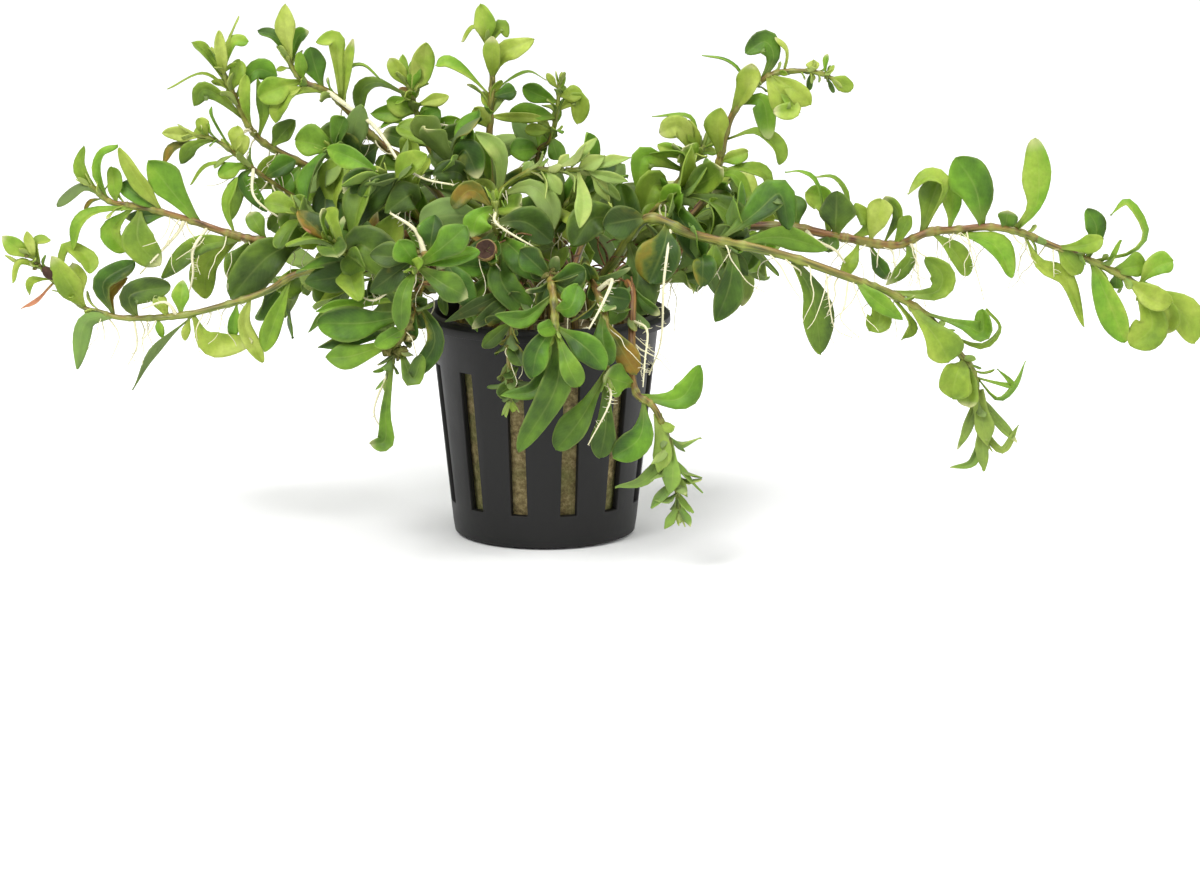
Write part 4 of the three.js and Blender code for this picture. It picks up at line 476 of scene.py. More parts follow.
            [10, 1.9, 0, 0.52, [24, 0.2, -39]], [10, 1.7, 0, 0.52, [29.2, 0.8, -39]],
            [7.8, 2, 60, 0.5, [28.2, 11, -39], [31.6, 7.4, -38]], [7, 1, 0, 0.72, [28, 15.6, -38]],
            [8.6, 2.2, 0, 0.57, [28.4, 6.6, -40]], [7.2, 3.6, 0, 0.5, [25.6, 12, -41], [25, 7.2, -41]],
            [3.9, 6.2, 0, 0.52, [11.8, 30.8, -41]],
        ],
        "roots": [[1.8, 0.4, [20.4, 40, -34], [20, 34, -38.4], [19.6, 28.6, -41]]],
    },
    "middle": {
        "route": [[1, 48, -7], [-5, 54, -15], [-9.6, 60, -23], [-10, 66, -24]],
        "radii": [1.3, 1],
        "leaves": [
            [3, 5.6, 0, 0.35, [-13.4, 62.6, -29], [-14.6, 58.6, -29]],
            [2, 6, 0, 0.7, [-5, 55, -30], [-1.2, 49.8, -30]],
            [1.8, 6, 0, 0.75, [-8.6, 49.6, -31], [-2.4, 42.8, -31]],
            [2.6, 7, 180, 0.7, [-19, 63, -25], [-25, 61, -25]],
            [2.9, 4, 0, 1.24, [-14.6, 68, -25], [-18.6, 64.6, -26]],
            [2.5, 6.4, 0, 1, [-4, 61.6, -22], [1.4, 57.6, -21]],
            [1.4, 3, 0, 0.6, [-14.4, 46, -30], [-13.6, 39.6, -30]], [2.2, 6, 0, 0.9, [-14, 52, -27]],
        ],
        "whorls": [[1.2, 11, 5]],
        "roots": [[2.6, 0.5, [-9.4, 61, -30], [-1.6, 56.2, -31]]],
    },
    "cut_stem": {
        "route": [[-5, 48, -12], [-9, 52, -22], [-11.8, 56, -34]],
        "radii": [1.7, 1.8],
        "leaves": [[1.2, 4.6, 0, 0.7, [-18, 53, -30]]],
    },
    "front_left_hanging": {
        "route": [[-14, 48, -12.5], [-24, 49, -24], [-27, 42, -32], [-30, 36, -34], [-31.6, 30, -34]],
        "radii": [1.3, 0.9],
        "leaves": [
            [2, 6.6, 5, 0.74, [-36, 41.4, -36], [-45.6, 41.4, -36]],
            [2.6, 3, 0, 0.9, [-38, 38, -34], [-45.4, 36.4, -34]],
            [2.9, 5, 0, 0.56, [-38, 35, -37], [-43.8, 34.4, -37]],
            [1.6, 2.6, 0, 0.28, [-40, 45, -32], [-45.8, 43.6, -32]],
            [1.5, 2.2, 0, 0.68, [-42, 44, -30], [-47.4, 39.6, -30]],
            [3.4, 3.4, 0, 0.6, [-31.8, 24, -37], [-32, 18, -37], [-35, 17.2, -37]],
            [3, 3.6, 0, 1, [-26.6, 30.4, -38], [-24.6, 35, -38]],
            [1.6, 4, 0, 1.04, [-22, 38, -35], [-27, 30, -36]], [2.5, 3.6, 0, 0.58, [-34, 37, -38]],
        ],
        "roots": [[3.6, 0.35, [-34.2, 24, -35], [-32.2, 19.6, -35]]],
    },
    "front_withered": {
        "route": [[-3, 48, -17.5], [-5, 49, -27], [-7, 38, -32], [-7, 30, -32], [-7, 25.6, -32]],
        "radii": [1, 0.8],
        "leaves": [
            [1.2, 3, 0, 1.2, [-20, 41.6, -33]], [1.4, 3, 0, 1.1, [-14.6, 40.4, -34]],
            [2.2, 3.4, 0, 1.2, [-4.6, 33, -36]], [3, 3.6, 0, 1.15, [-6.4, 30.6, -36]],
            [1.8, 3, 0, 1, [-12.4, 36.6, -34]], [3.6, 3, 0, 1.1, [-9.4, 27, -37]],
        ],
    },
}

INNER_ROUTES = {
    "inner_left": [[-16, 48, 2], [-29, 51, -4], [-41, 58, -9], [-50, 64, -12]],
    "inner_left_low": [[-17, 48, -5], [-29, 49, -14], [-38, 54, -23], [-43, 58, -28]],
    "inner_left_high": [[-11, 48, 8], [-26, 60, 8], [-36, 71, 3], [-43, 76, -1]],
    "inner_left_front": [[-10, 48, 1], [-20, 55, -8], [-27, 65, -15], [-32, 71, -18]],
    "inner_middle": [[-1, 48, 1], [-6, 58, -3], [-15, 69, -7], [-21, 77, -8]],
    "inner_middle_high": [[5, 48, 2], [3, 56, 1], [3, 63, -5], [6, 67, -6]],
    "inner_right": [[9, 48, 0], [15, 54, -3], [22, 64, -8], [29, 68, -10]],
    "inner_right_low": [[15, 48, -5], [24, 50, -11], [31, 55, -12], [36, 59, -12]],
    "inner_right_high": [[15, 48, 9], [24, 56, 15], [35, 61, 15], [41, 63, 14]],
    "back_left": [[-10, 48, 16], [-23, 56, 30], [-35, 64, 42], [-43, 68, 50]],
    "back_middle_left": [[-3, 48, 17], [-9, 58, 34], [-15, 68, 48], [-17, 73, 56]],
    "back_middle": [[4, 48, 17], [7, 56, 34], [9, 62, 46], [10, 64, 56]],
    "back_right": [[9, 48, 15.5], [20, 55, 30], [30, 61, 42], [36, 63, 50]],
    "back_left_low": [[-15, 48, 11], [-27, 55, 24], [-42, 54, 34], [-52, 50, 40]],
    "back_right_low": [[13, 48, 12.5], [26, 56, 24], [35, 58, 36], [39, 57, 44]],
    "back_hanging": [[1, 48, 13], [1, 57, 31], [2, 50, 46], [3, 36, 54]],
}

INNER_LEAVES = {
    "inner_left_high": [
        [2.6, 6.4, 0, 1, [-44, 66, -8], [-41.6, 58.6, -10]], [2.4, 5, 0, 0.95, [-41, 79.4, -2]],
    ],
    "inner_left_front": [
        [2.8, 5, 0, 1, [-36, 70, -20], [-40.4, 67.6, -20]], [2.1, 6, 0, 1, [-27, 67, -22], [-32, 63.4, -23]],
    ],
    "inner_left": [[2.1, 6, 0, 1, [-36, 65, -21], [-30, 71.4, -22]], [2.7, 4.6, 0, 1.08, [-46, 60.4, -17]]],
    "inner_left_low": [
        [2.4, 8.4, 0, 1, [-36.4, 57, -30], [-30, 51, -31]], [2, 6.6, 0, 1, [-40, 51, -26], [-48, 49.6, -26]],
    ],
    "inner_middle": [
        [2.2, 4.6, 0, 1.06, [-17.6, 71.6, -14], [-22.4, 71.2, -15]],
        [2.7, 5.4, 0, 1, [-16, 76, -11], [-13.2, 70.4, -12]],
    ],
    "inner_middle_high": [[1.9, 4.2, 0, 1.04, [-2, 70, -8], [-9.6, 69.4, -9]]],
    "inner_right": [
        [1.6, 7, 0, 0.95, [10.4, 62.6, -18], [5.4, 56.8, -20]],
        [2.5, 6, 0, 0.9, [28, 61, -14], [31, 54, -16]],
    ],
    "inner_right_low": [[2.2, 4.6, 0, 1.04, [31.6, 54, -24], [31.4, 48.6, -25]]],
}
INNER_RADII = [1.3, 0.8]
INNER_WHORLS = [[1.8, 14, 6.4], [2.9, 12, 5.4]]

# Small young leaves near some tips, as their age and [station, leaf length, leaf width]
YOUNG_WHORLS = {
    "left_low": (0.4, [[8.4, 4, 1.8], [9.4, 4, 1.8], [10.3, 3.6, 1.6], [10.8, 3, 1.4]]),
    "left_middle": (0.45, [[8.6, 4.4, 1.6], [9.6, 3.6, 1.4]]),
    "upper_left": (0.4, [[5.8, 5, 2], [6.6, 5, 2], [7.7, 3.6, 1.6]]),
    "small_left": (0.45, [[3.6, 5, 1.8], [4.4, 5, 1.8], [5.2, 4, 1.6], [5.7, 3.4, 1.4]]),
    "upper_left_arch": (0.4, [[6, 5, 2], [7.2, 4.4, 1.8], [8.6, 3.4, 1.6]]),
    "top_left": (0.35, [[4.4, 5, 2.2], [5.2, 4, 1.8], [5.6, 3.6, 1.8]]),
    "top_middle": (0.4, [[3.2, 6, 2.4], [3.6, 5, 2], [5.6, 3.6, 1.6]]),
    "top_small": (0.45, [[3.2, 5, 2.2], [3.6, 4.6, 2.2], [4.2, 4, 2], [4.7, 3, 1.6]]),
    "pale_right": (0.3, [[3.2, 6, 1.6], [3.7, 7, 1.9], [4.2, 8, 2], [4.7, 8, 2], [5.1, 8, 2], [5.6, 8, 2]]),
    "right_top_arch": (0.45, [
        [7, 3.6, 1.4], [8.2, 3.2, 1.3], [9.2, 3, 1.2], [9.7, 3, 1.1], [10.2, 2.8, 1.1], [10.7, 2.4, 1],
    ]),
    "yellow_tuft": (0.3, [[2.7, 6, 2.6], [3.3, 5, 2.4], [3.8, 4, 2]]),
    "right_long_low": (0.5, [
        [9.4, 4, 1.6], [10.4, 4, 1.6], [11.4, 4, 1.6], [12.2, 4, 1.6], [13, 5, 2], [13.5, 4.6, 1.9],
    ]),
    "right_long_high": (0.45, [
        [10.4, 4, 1.6], [11.6, 4.4, 1.8], [12.4, 4.6, 2], [13, 4.6, 2], [13.7, 3.6, 1.8],
    ]),
    "front_drooping": (0.5, [[6.4, 5.4, 2.2], [7.2, 6, 2.2], [8, 6, 2.2], [8.8, 5.6, 2], [9.5, 4.8, 1.8]]),
    "front_left_hanging": (0.95, [[1.8, 6, 2.4], [2.4, 6, 2.4], [3, 5, 2], [3.5, 4.4, 1.8]]),
    "front_withered": (1.08, [[2, 5, 2.4], [2.6, 5, 2.4], [3.2, 5, 2.2], [3.7, 4, 2]]),
}

# How old the leaves in whorls look, and how brown a stem is at its foot, from 0, green
USUAL_WHORL_AGE = 0.76
WHORL_AGES = {
    "top_left": 0.6, "top_middle": 0.6, "top_small": 0.55, "yellow_tuft": 0.3, "pale_right": 0.55,
    "right_top_arch": 0.55, "upper_left": 0.6, "upper_left_arch": 0.6, "small_left": 0.6,
    "inner_right": 0.6, "inner_right_high": 0.58, "inner_middle_high": 0.66,
}
USUAL_STEM_AGE = 0.95
STEM_AGES = {
    "right_long_low": 0.55, "left_low": 0.6, "pale_right": 0.3, "left_middle": 1.25, "right_long_high": 1.15,
    "upper_left": 0.75, "upper_left_arch": 1,
}

# Listed leaves, by their row, that are a full fresh green
FRESH_LEAVES = {
    "right_long_high": [13, 14], "upper_left": [8, 11], "upper_left_arch": [3], "cut_stem": [0],
    "left_middle": [11], "top_left": [3, 8], "middle": [0], "small_left": [0], "front_middle_rosette": [3],
}

# Shoots whose leaves look different from a station on: slimmer, more pointed, held round the stem by
# a wide base, downy or fresh
LEAF_LOOKS = {
    "pale_right": [0, {"slim": 0.8, "narrow": 0.5, "downy": 0.26, "fresh": 0.8}],
    "front_drooping": [6, {"narrow": 0.6, "base": 0.4, "downy": 0.12}],
    "right_long_low": [12.7, {"narrow": 0.6, "base": 0.6, "downy": 0.1}],
}

# Fine roots, as [first station, last station, how many, length]
THREADS = {
    "right_long_low": [[4, 9, 14, 14]],
    "right_long_high": [[4, 11, 18, 13]],
    "left_low": [[4, 8, 8, 10]],
    "left_middle": [[3, 8, 12, 12]],
    "upper_left": [[2, 5, 7, 11]],
    "small_left": [[2, 4, 6, 10]],
    "upper_left_arch": [[3, 6, 6, 12]],
    "others": [[1, 2.4, 4, 11]],
}
EXTRA_THREADS = {
    "upper_left": [[2, 3.6, 12, 9]],
    "small_left": [[1.6, 3, 12, 9]],
    "left_middle": [[1.6, 3, 8, 10]],
    "left_low": [[4.5, 8, 6, 10]],
    "right_long_high": [[5, 9, 8, 10]],
}

# Dead leaves and bare stalks near the feet of the shoots in front
FRONT_SHOOTS = ["front_left_rosette", "front_middle_rosette", "front_lower", "front_drooping", "middle",
                "cut_stem", "front_left_hanging", "front_withered"]
# Leaves of the shoots in front are set a little older and deeper green, as painted shade
FRONT_SHADE_AGE = 0.06
FRONT_SHADE_TONE = 0.55
OLD_AGE = 1.05
OLD_WHORLS = [[0.7, 6, 2.8], [1.2, 7, 3], [1.7, 6, 2.6]]
BARE_STALKS = 3

# Crumbs of moss and old leaf on some stems, as [first station, last station, how many, largest radius]
CRUMBS = {
    "front_left_hanging": [0.4, 3.4, 26, 1.3],
    "front_withered": [0.6, 3.8, 26, 1.2],
    "front_left_rosette": [0.8, 2.4, 8, 1],
    "front_middle_rosette": [0.6, 1.6, 8, 0.9],
    "middle": [0.6, 2, 8, 0.9],
    "inner_left_front": [0.6, 2, 8, 1.1],
    "left_low": [10, 10.9, 7, 0.6],
}
# A dark brown lump in the pith's colour, set among the leaves at a shoot's tip
DARK_LUMPS = {"left_low": [-99.2, 51.4, -15]}
FILL_WHORLS = [[1.2, 12, 5.6], [1.5, 13, 6], [2.15, 13, 6], [2.5, 12, 5.6]]


def place(point):
    right, up, back = point
    ray = Vector((right, 0, 0)) + up * UPWARD - EYE
    return EYE + ray * ((back - EYE.y) / ray.y)


# The same plain draw of numbers from 0 to 1 that the part's source makes
drawn = 7


def draw():
    global drawn
    drawn = (drawn * 16807) % 2147483647
    return drawn / 2147483647


def lerp(a, b, t):
    return a + (b - a) * t


def smooth_step(t):
    t = min(max(t, 0), 1)
    return t * t * (3 - 2 * t)


class Line:
    """A smooth line through some points, with t from 0 at the first to 1 at the last."""

    def __init__(self, points):
        before = points[0] * 2 - points[1]
        after = points[-1] * 2 - points[-2]
        self.points = [before, *points, after]
        self.length = sum((self.point(i / 60) - self.point((i + 1) / 60)).length for i in range(60))

    def weights(self, t):
        span = min(max(t, 0), 1) * (len(self.points) - 3)
        first = min(int(span), len(self.points) - 4)
        p0, p1, p2, p3 = self.points[first:first + 4]
        leave = (p2 - p0) * 0.5
        arrive = (p3 - p1) * 0.5
        square = -3 * p1 + 3 * p2 - 2 * leave - arrive
        cube = 2 * p1 - 2 * p2 + leave + arrive
        return span - first, p1, leave, square, cube

    def point(self, t):
        w, start, leave, square, cube = self.weights(t)
        return start + leave * w + square * w ** 2 + cube * w ** 3

    def tangent(self, t):
        w, _, leave, square, cube = self.weights(t)
        return (leave + square * (2 * w) + cube * (3 * w ** 2)).normalized()


def stray(chance, *spans):
    """A random run, drawn between two numbers for each of its three directions."""
    return Vector([chance.uniform(*span) for span in spans])


def axis_across(line):
    run = line.point(1) - line.point(0)
    return Vector((1, 0, 0)) if abs(run.x) < abs(run.y) else Vector((0, 1, 0))


def square_to(tangent, axis):
    first = axis.cross(tangent).normalized()
    return first, tangent.cross(first).normalized()


def around(pair, angle):
    """The way out of a line at an angle round it, from two ways that are square to it."""
    return pair[0] * math.cos(angle) + pair[1] * math.sin(angle)


def stem_line(route):
    """A stem's line goes straight up out of the wool to its first station."""
    points = [place(p) for p in route]
    foot = points[0].copy()
    foot.z = WOOL_TOP + GAP
    line = Line([foot, *points])
    line.stations = len(route)
    return line


def share_at(stem, station):
    return (station + 1) / stem.stations


def leaf_base(stem, station):
    t = share_at(stem, station)
    return stem.point(t) - stem.tangent(t) * LEAF_ROOTED


def placed_leaf(stem, leaf):
    """A listed leaf's midrib, and the way that its face looks at each point of it."""
    station, width, turn, age, *points = leaf
    turned = math.radians(turn)

    def normal_at(t, tangent):
        facing = (tangent * AHEAD.dot(tangent) - AHEAD).normalized()
        return around((facing, facing.cross(tangent)), turned)

    path = [leaf_base(stem, station), *(place(p) for p in points)]
    if len(path) == 2:
        run = path[1] - path[0]
        bow = normal_at(0, run.normalized()) * (LEAF_BOW * run.length)
        path.insert(1, path[0] + run * 0.5 + bow)
    return {"midrib": Line(path), "normal_at": normal_at, "width": width, "age": age, "station": station}


def whorl(stem, station, length, width, turn, age, drawing):
    """The leaves round one node of a stem, their faces to the stem's tip."""
    base = leaf_base(stem, station)
    along = stem.tangent(share_at(stem, station))
    across = square_to(along, axis_across(stem))
    leaves = []
    for i in range(WHORL_LEAVES):
        angle = math.radians(turn + 360 * i / WHORL_LEAVES + WHORL_TURN_SPREAD * (drawing() - 0.5))
        rise = math.radians(WHORL_RISE + WHORL_RISE_SPREAD * (drawing() - 0.5))
        reach = length * (0.7 + 0.6 * drawing())
        outward = around(across, angle)
        run = outward * math.cos(rise) + along * math.sin(rise)
        face = along * math.cos(rise) - outward * math.sin(rise)
        middle = base + run * (reach * 0.5) + face * (reach * LEAF_BOW)
        side = run.cross(face).normalized()
        leaves.append({
            "midrib": Line([base, middle, base + run * reach]),
            "station": station,
            "normal_at": lambda t, tangent, side=side: side.cross(tangent).normalized(),
            "width": width * (0.8 + 0.4 * drawing()),
            "age": age,
            "loose": True,
        })
    return leaves


# Mesh work

# What the materials read at each point: its age, its tone, and how far it is knotted or bleached
LAYERS = ("age", "tone", "knot")


def new_mesh():
    bm = bmesh.new()
    for name in LAYERS:
        bm.verts.layers.float.new(name)
    bm.loops.layers.uv.new("UVMap")
    return bm


def layers_of(bm):
    return [bm.verts.layers.float[name] for name in LAYERS]


def finish_mesh(bm, name, materials, slot, *nodes):
    for vert in bm.verts:
        vert.co *= MM
    for face in bm.faces:
        face.smooth = True
    mesh = bpy.data.meshes.new(name)
    bm.to_mesh(mesh)
    bm.free()
    for material in materials:
        mesh.materials.append(material)
    piece = bpy.data.objects.new(name, mesh)
    bpy.context.scene.collection.objects.link(piece)
    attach(piece, "root")
    if nodes:
        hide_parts(*nodes)
    return piece


def grid(bm, across, along):
    """A flat grid whose points are handed out with their place on it, each from 0 to 1."""
    made = bmesh.ops.create_grid(bm, x_segments=across, y_segments=along, size=1, calc_uvs=True)
    return [(vert, (vert.co.x + 1) / 2, (vert.co.y + 1) / 2) for vert in made["verts"]]


def weld(bm, points, apart):
    """Joins a grid's points that lie nearer to each other than a length."""
    bmesh.ops.remove_doubles(bm, verts=[vert for vert, _, _ in points], dist=apart)


def leaf_outline(t, widest, pointed, base):
    """A leaf's half width along it: a long narrow stalk, widest well past the middle, then a tip
    that is blunt where pointed is 0 and sharp where it is 1."""
    if t < widest:
        return base + (1 - base) * lerp(smooth_step(t / widest), (t / widest) ** 1.3, 0.35)
    past = (t - widest) / (1 - widest)
    return max(1 - past ** lerp(2.3, 1.5, pointed), 0) ** lerp(0.52, 0.95, pointed)


def add_leaf(bm, leaf, in_front, chance):
    age_layer, tone_layer, knot_layer = layers_of(bm)
    midrib = leaf["midrib"]
    along, across = (8, 4) if midrib.length < SMALL_LEAF_LENGTH else (14, 8)
    half = leaf["width"] * leaf.get("slim", 1) / 2
    loose = leaf.get("loose", False)
    age = leaf["age"]
    if loose:
        withered = chance.random() < WITHERED_CHANCE
        age = chance.uniform(*WITHERED_AGES) if withered else age + chance.uniform(*LOOSE_AGE_SPREAD)
    fold = math.radians(chance.uniform(*(LOOSE_FOLD if loose else PLACED_FOLD)))
    twist = math.radians(chance.uniform(*(LOOSE_TWIST if loose else PLACED_TWIST)))
    curl = chance.uniform(*LEAF_CURL)
    wave = chance.uniform(*LEAF_WAVE) * half
    slender = min(max(1.2 - 4 * leaf["width"] / midrib.length, 0), 1)
    pointed = min(max(slender + leaf.get("narrow", 0) + chance.uniform(-0.2, 0.55), 0), 1)
    widest = chance.uniform(*LEAF_WIDEST) - 0.1 * pointed
    ripple = chance.uniform(0, 6.3)
    skew = chance.uniform(*LEAF_SKEW)
    lag = chance.uniform(*LEAF_LAG)
    tone = chance.random()
    # Leaves in front are darkened a little, as painted shade
    if in_front and age < 1:
        age += FRONT_SHADE_AGE
        tone = lerp(FRONT_SHADE_TONE, 1, tone)
    tone = lerp(leaf.get("fresh", 0), 1, tone)
    face_shown = -1 if loose and chance.random() < TURNED_OVER_CHANCE else 1
    bleached = chance.uniform(0.4, 1) if chance.random() < BLEACHED_TIP_CHANCE else 0
    base, downy = leaf.get("base", LEAF_STALK_SHARE), leaf.get("downy", 0)
    verts = grid(bm, across, along)
    for vert, u, v in verts:
        t = 1 - (1 - v) ** 1.6
        tangent = midrib.tangent(t)
        facing = leaf["normal_at"](t, tangent)
        normal = around((facing, tangent.cross(facing).normalized()), twist * t) * face_shown
        side = tangent.cross(normal).normalized()
        s = 2 * u - 1
        uneven = 1 + skew * s + EDGE_RIPPLE * math.sin(ripple + 11 * t + 3 * s)
        reach = half * leaf_outline(t, widest + lag * s, pointed, base) * uneven
        lift = math.sin(fold) * abs(s) * smooth_step(t * 4) - MIDRIB_SINK * (1 - abs(s)) ** 3
        lift += curl * s * s * (0.45 - t)
        edge = wave * s * s * math.sin(ripple + 9 * t + 2 * s)
        vert.co = midrib.point(t) + side * (reach * s * math.cos(fold * 0.8)) + normal * (reach * lift + edge)
        vert[age_layer] = age
        vert[tone_layer] = tone
        vert[knot_layer] = max(bleached * smooth_step((t - 0.84) / 0.14), downy)
    weld(bm, verts, LEAF_WELD)


def add_tube(bm, line, radius_at, rows, sides, age_at=lambda t: 0.5, knot_at=lambda t: 0, material=0):
    """A closed round tube along a line, drawn to a point at each end. Its tone is how far it looks up."""
    age_layer, tone_layer, knot_layer = layers_of(bm)
    axis = axis_across(line)
    before = set(bm.faces)
    verts = grid(bm, sides, rows)
    for vert, u, v in verts:
        t = min(max((v * rows - 1) / (rows - 2), 0), 1)
        outward = around(square_to(line.tangent(t), axis), 2 * math.pi * u)
        radius = 0 if v * rows < 0.5 or v * rows > rows - 0.5 else radius_at(t)
        vert.co = line.point(t) + outward * radius
        vert[age_layer] = age_at(t)
        vert[tone_layer] = 0.5 + 0.5 * outward.z
        vert[knot_layer] = knot_at(t)
    weld(bm, verts, TUBE_WELD)
    for face in set(bm.faces) - before:
        face.material_index = material


# Materials

def colour(red, green, blue):
    """A screen colour, 0 to 255, as light."""
    shares = [c / 255 for c in (red, green, blue)]
    return (*(c / 12.92 if c <= 0.04 else ((c + 0.055) / 1.055) ** 2.4 for c in shares), 1)


class Look:
    """A new material, and short calls that make and join its nodes."""

    def __init__(self, name):
        self.material = bpy.data.materials.new(name)
        self.material.use_nodes = True
        self.tree = self.material.node_tree
        self.shader = self.tree.nodes["Principled BSDF"]

    def node(self, kind, **settings):
        made = self.tree.nodes.new(f"ShaderNode{kind}")
        for name, value in settings.items():
            setattr(made, name, value)
        return made

    def feed(self, socket, value):
        if isinstance(value, bpy.types.NodeSocket):
            self.tree.links.new(value, socket)
        else:
            socket.default_value = value

    def set(self, name, value):
        self.feed(self.shader.inputs[name], value)

    def math(self, operation, *values):
        made = self.node("Math", operation=operation)
        for socket, value in zip(made.inputs, values):
            self.feed(socket, value)
        return made.outputs[0]

    def minus(self, a, b):
        return self.math("SUBTRACT", a, b)

    def times(self, a, b, more=0):
        return self.math("MULTIPLY_ADD", a, b, more)

    def clamp(self, value):
        return self.math("MINIMUM", self.math("MAXIMUM", value, 0), 1)

    def mix(self, factor, a, b, blend="MIX"):
        made = self.node("Mix", data_type="RGBA", blend_type=blend)
        for i, value in ((0, factor), (6, a), (7, b)):
            self.feed(made.inputs[i], value)
        return made.outputs[2]

    def ramp(self, factor, stops):
        made = self.node("ValToRGB")
        elements = made.color_ramp.elements
        while len(elements) < len(stops):
            elements.new(0.5)
        for element, (position, light) in zip(elements, stops):
            element.position = position
            element.color = light
        self.feed(made.inputs[0], factor)
        return made.outputs[0]

    def attributes(self):
        return [self.node("Attribute", attribute_name=name).outputs["Fac"] for name in LAYERS]

    def uv(self):
        return self.node("UVMap", uv_map="UVMap").outputs[0]

    def noise(self, scale, detail=3, roughness=0.55, at=None):
        made = self.node("TexNoise")
        self.feed(made.inputs["Scale"], scale)
        self.feed(made.inputs["Detail"], detail)
        self.feed(made.inputs["Roughness"], roughness)
        self.feed(made.inputs["Vector"], self.node("TexCoord").outputs["Object"] if at is None else at)
        return made.outputs[0]

    def bump(self, height, strength, distance):
        made = self.node("Bump")
        self.feed(made.inputs["Strength"], strength)
        self.feed(made.inputs["Distance"], distance)
        self.feed(made.inputs["Height"], height)
        self.set("Normal", made.outputs[0])


# A leaf's colour from young, through old, to withered
LEAF_AGES = [
    (0.0, colour(182, 196, 94)),
    (0.14, colour(158, 176, 68)),
    (0.3, colour(134, 160, 52)),
    (0.46, colour(108, 137, 44)),
    (0.6, colour(80, 106, 38)),
    (0.7, colour(57, 78, 31)),
    (0.79, colour(60, 76, 30)),
    (0.85, colour(112, 108, 40)),
    (0.9, colour(146, 116, 40)),
    (0.97, colour(132, 98, 42)),
    (1.0, colour(206, 134, 104)),
]
AGE_ON_RAMP = 0.6667
FRESH_TINT = (0.74, 1.02, 0.7, 1)
# Pale green of the veins, also painted on the leaf's edge, partly as its own paler margin and partly as a
# sheen on its rim
VEIN_AND_RIM_SHEEN_GREEN = colour(168, 184, 96)
STALK_GREEN = colour(138, 150, 74)
UNDERSIDE_GREEN = colour(138, 156, 104)
BLEACHED = colour(206, 206, 150)
LIT_THROUGH = colour(180, 205, 60)
LIT_THROUGH_SHARE = 0.28


def leaf_material(name, under):
    look = Look(name)
    age, tone, bleached = look.attributes()
    place_on_leaf = look.node("SeparateXYZ")
    look.feed(place_on_leaf.inputs[0], look.uv())
    u, v = place_on_leaf.outputs[0], place_on_leaf.outputs[1]
    off_middle = look.math("ABSOLUTE", look.minus(u, 0.5))
    grain = look.noise(1400)
    # The leaf's own age, in patches, and one half of the leaf set a little darker on the ramp as painted
    # shade, for a fold along its midrib
    lean = look.minus(tone, 0.5)
    age_and_fold_shade = look.times(look.minus(look.noise(210, 4), 0.5), 0.55, look.times(age, AGE_ON_RAMP))
    age_and_fold_shade = look.times(look.times(look.minus(u, 0.5), lean), 0.5, age_and_fold_shade)
    age_and_fold_shade = look.times(lean, 0.14, age_and_fold_shade)
    blade = look.ramp(age_and_fold_shade, LEAF_AGES)
    fresh = look.clamp(look.times(look.minus(tone, 0.4), 2))
    fresh = look.times(fresh, look.math("MINIMUM", look.times(age_and_fold_shade, 3.5), 1))
    blade = look.mix(fresh, blade, FRESH_TINT, "MULTIPLY")
    blade = look.mix(0.6, blade, look.times(look.noise(800, 4, 0.7), 1.3, 0.35), "MULTIPLY")
    # Midrib and side veins, the leaf's edge, paler partly in its own colour and partly as a painted sheen on
    # its rim, and its stalk
    midrib = look.clamp(look.minus(1, look.times(off_middle, 24)))
    midrib = look.times(midrib, look.minus(1.1, v))
    slope = look.times(off_middle, -26, look.times(v, 44))
    veins = look.math("POWER", look.math("ABSOLUTE", look.math("SINE", slope)), 9)
    lines = look.math("MAXIMUM", midrib, look.times(veins, 0.1))
    blade = look.mix(look.times(lines, 0.34), blade, VEIN_AND_RIM_SHEEN_GREEN)
    margin_and_rim_sheen = look.math("MAXIMUM", look.times(look.minus(off_middle, 0.42), 6), 0)
    blade = look.mix(look.times(margin_and_rim_sheen, 0.5), blade, VEIN_AND_RIM_SHEEN_GREEN)
    stalk = look.math("MAXIMUM", look.minus(1, look.times(v, 5)), 0)
    blade = look.mix(look.times(stalk, 0.6), blade, STALK_GREEN)
    if under:
        blade = look.mix(0.5, blade, UNDERSIDE_GREEN)
    blade = look.mix(bleached, blade, BLEACHED)
    look.set("Base Color", blade)
    look.set("Roughness", look.times(grain, 0.25, 0.55 if under else 0.38))
    look.set("Specular IOR Level", 0.15 if under else 0.28)
    look.bump(look.times(lines, -0.8, look.times(grain, 0.25)), 0.5, 0.00012)
    # Light that comes through from behind
    glow = look.node("BsdfTranslucent")
    look.feed(glow.inputs["Color"], look.mix(0.5, blade, LIT_THROUGH))
    through = look.node("MixShader")
    for i, value in enumerate((LIT_THROUGH_SHARE, look.shader.outputs[0], glow.outputs[0])):
        look.feed(through.inputs[i], value)
    look.feed(look.tree.nodes["Material Output"].inputs["Surface"], through.outputs[0])
    return look.material


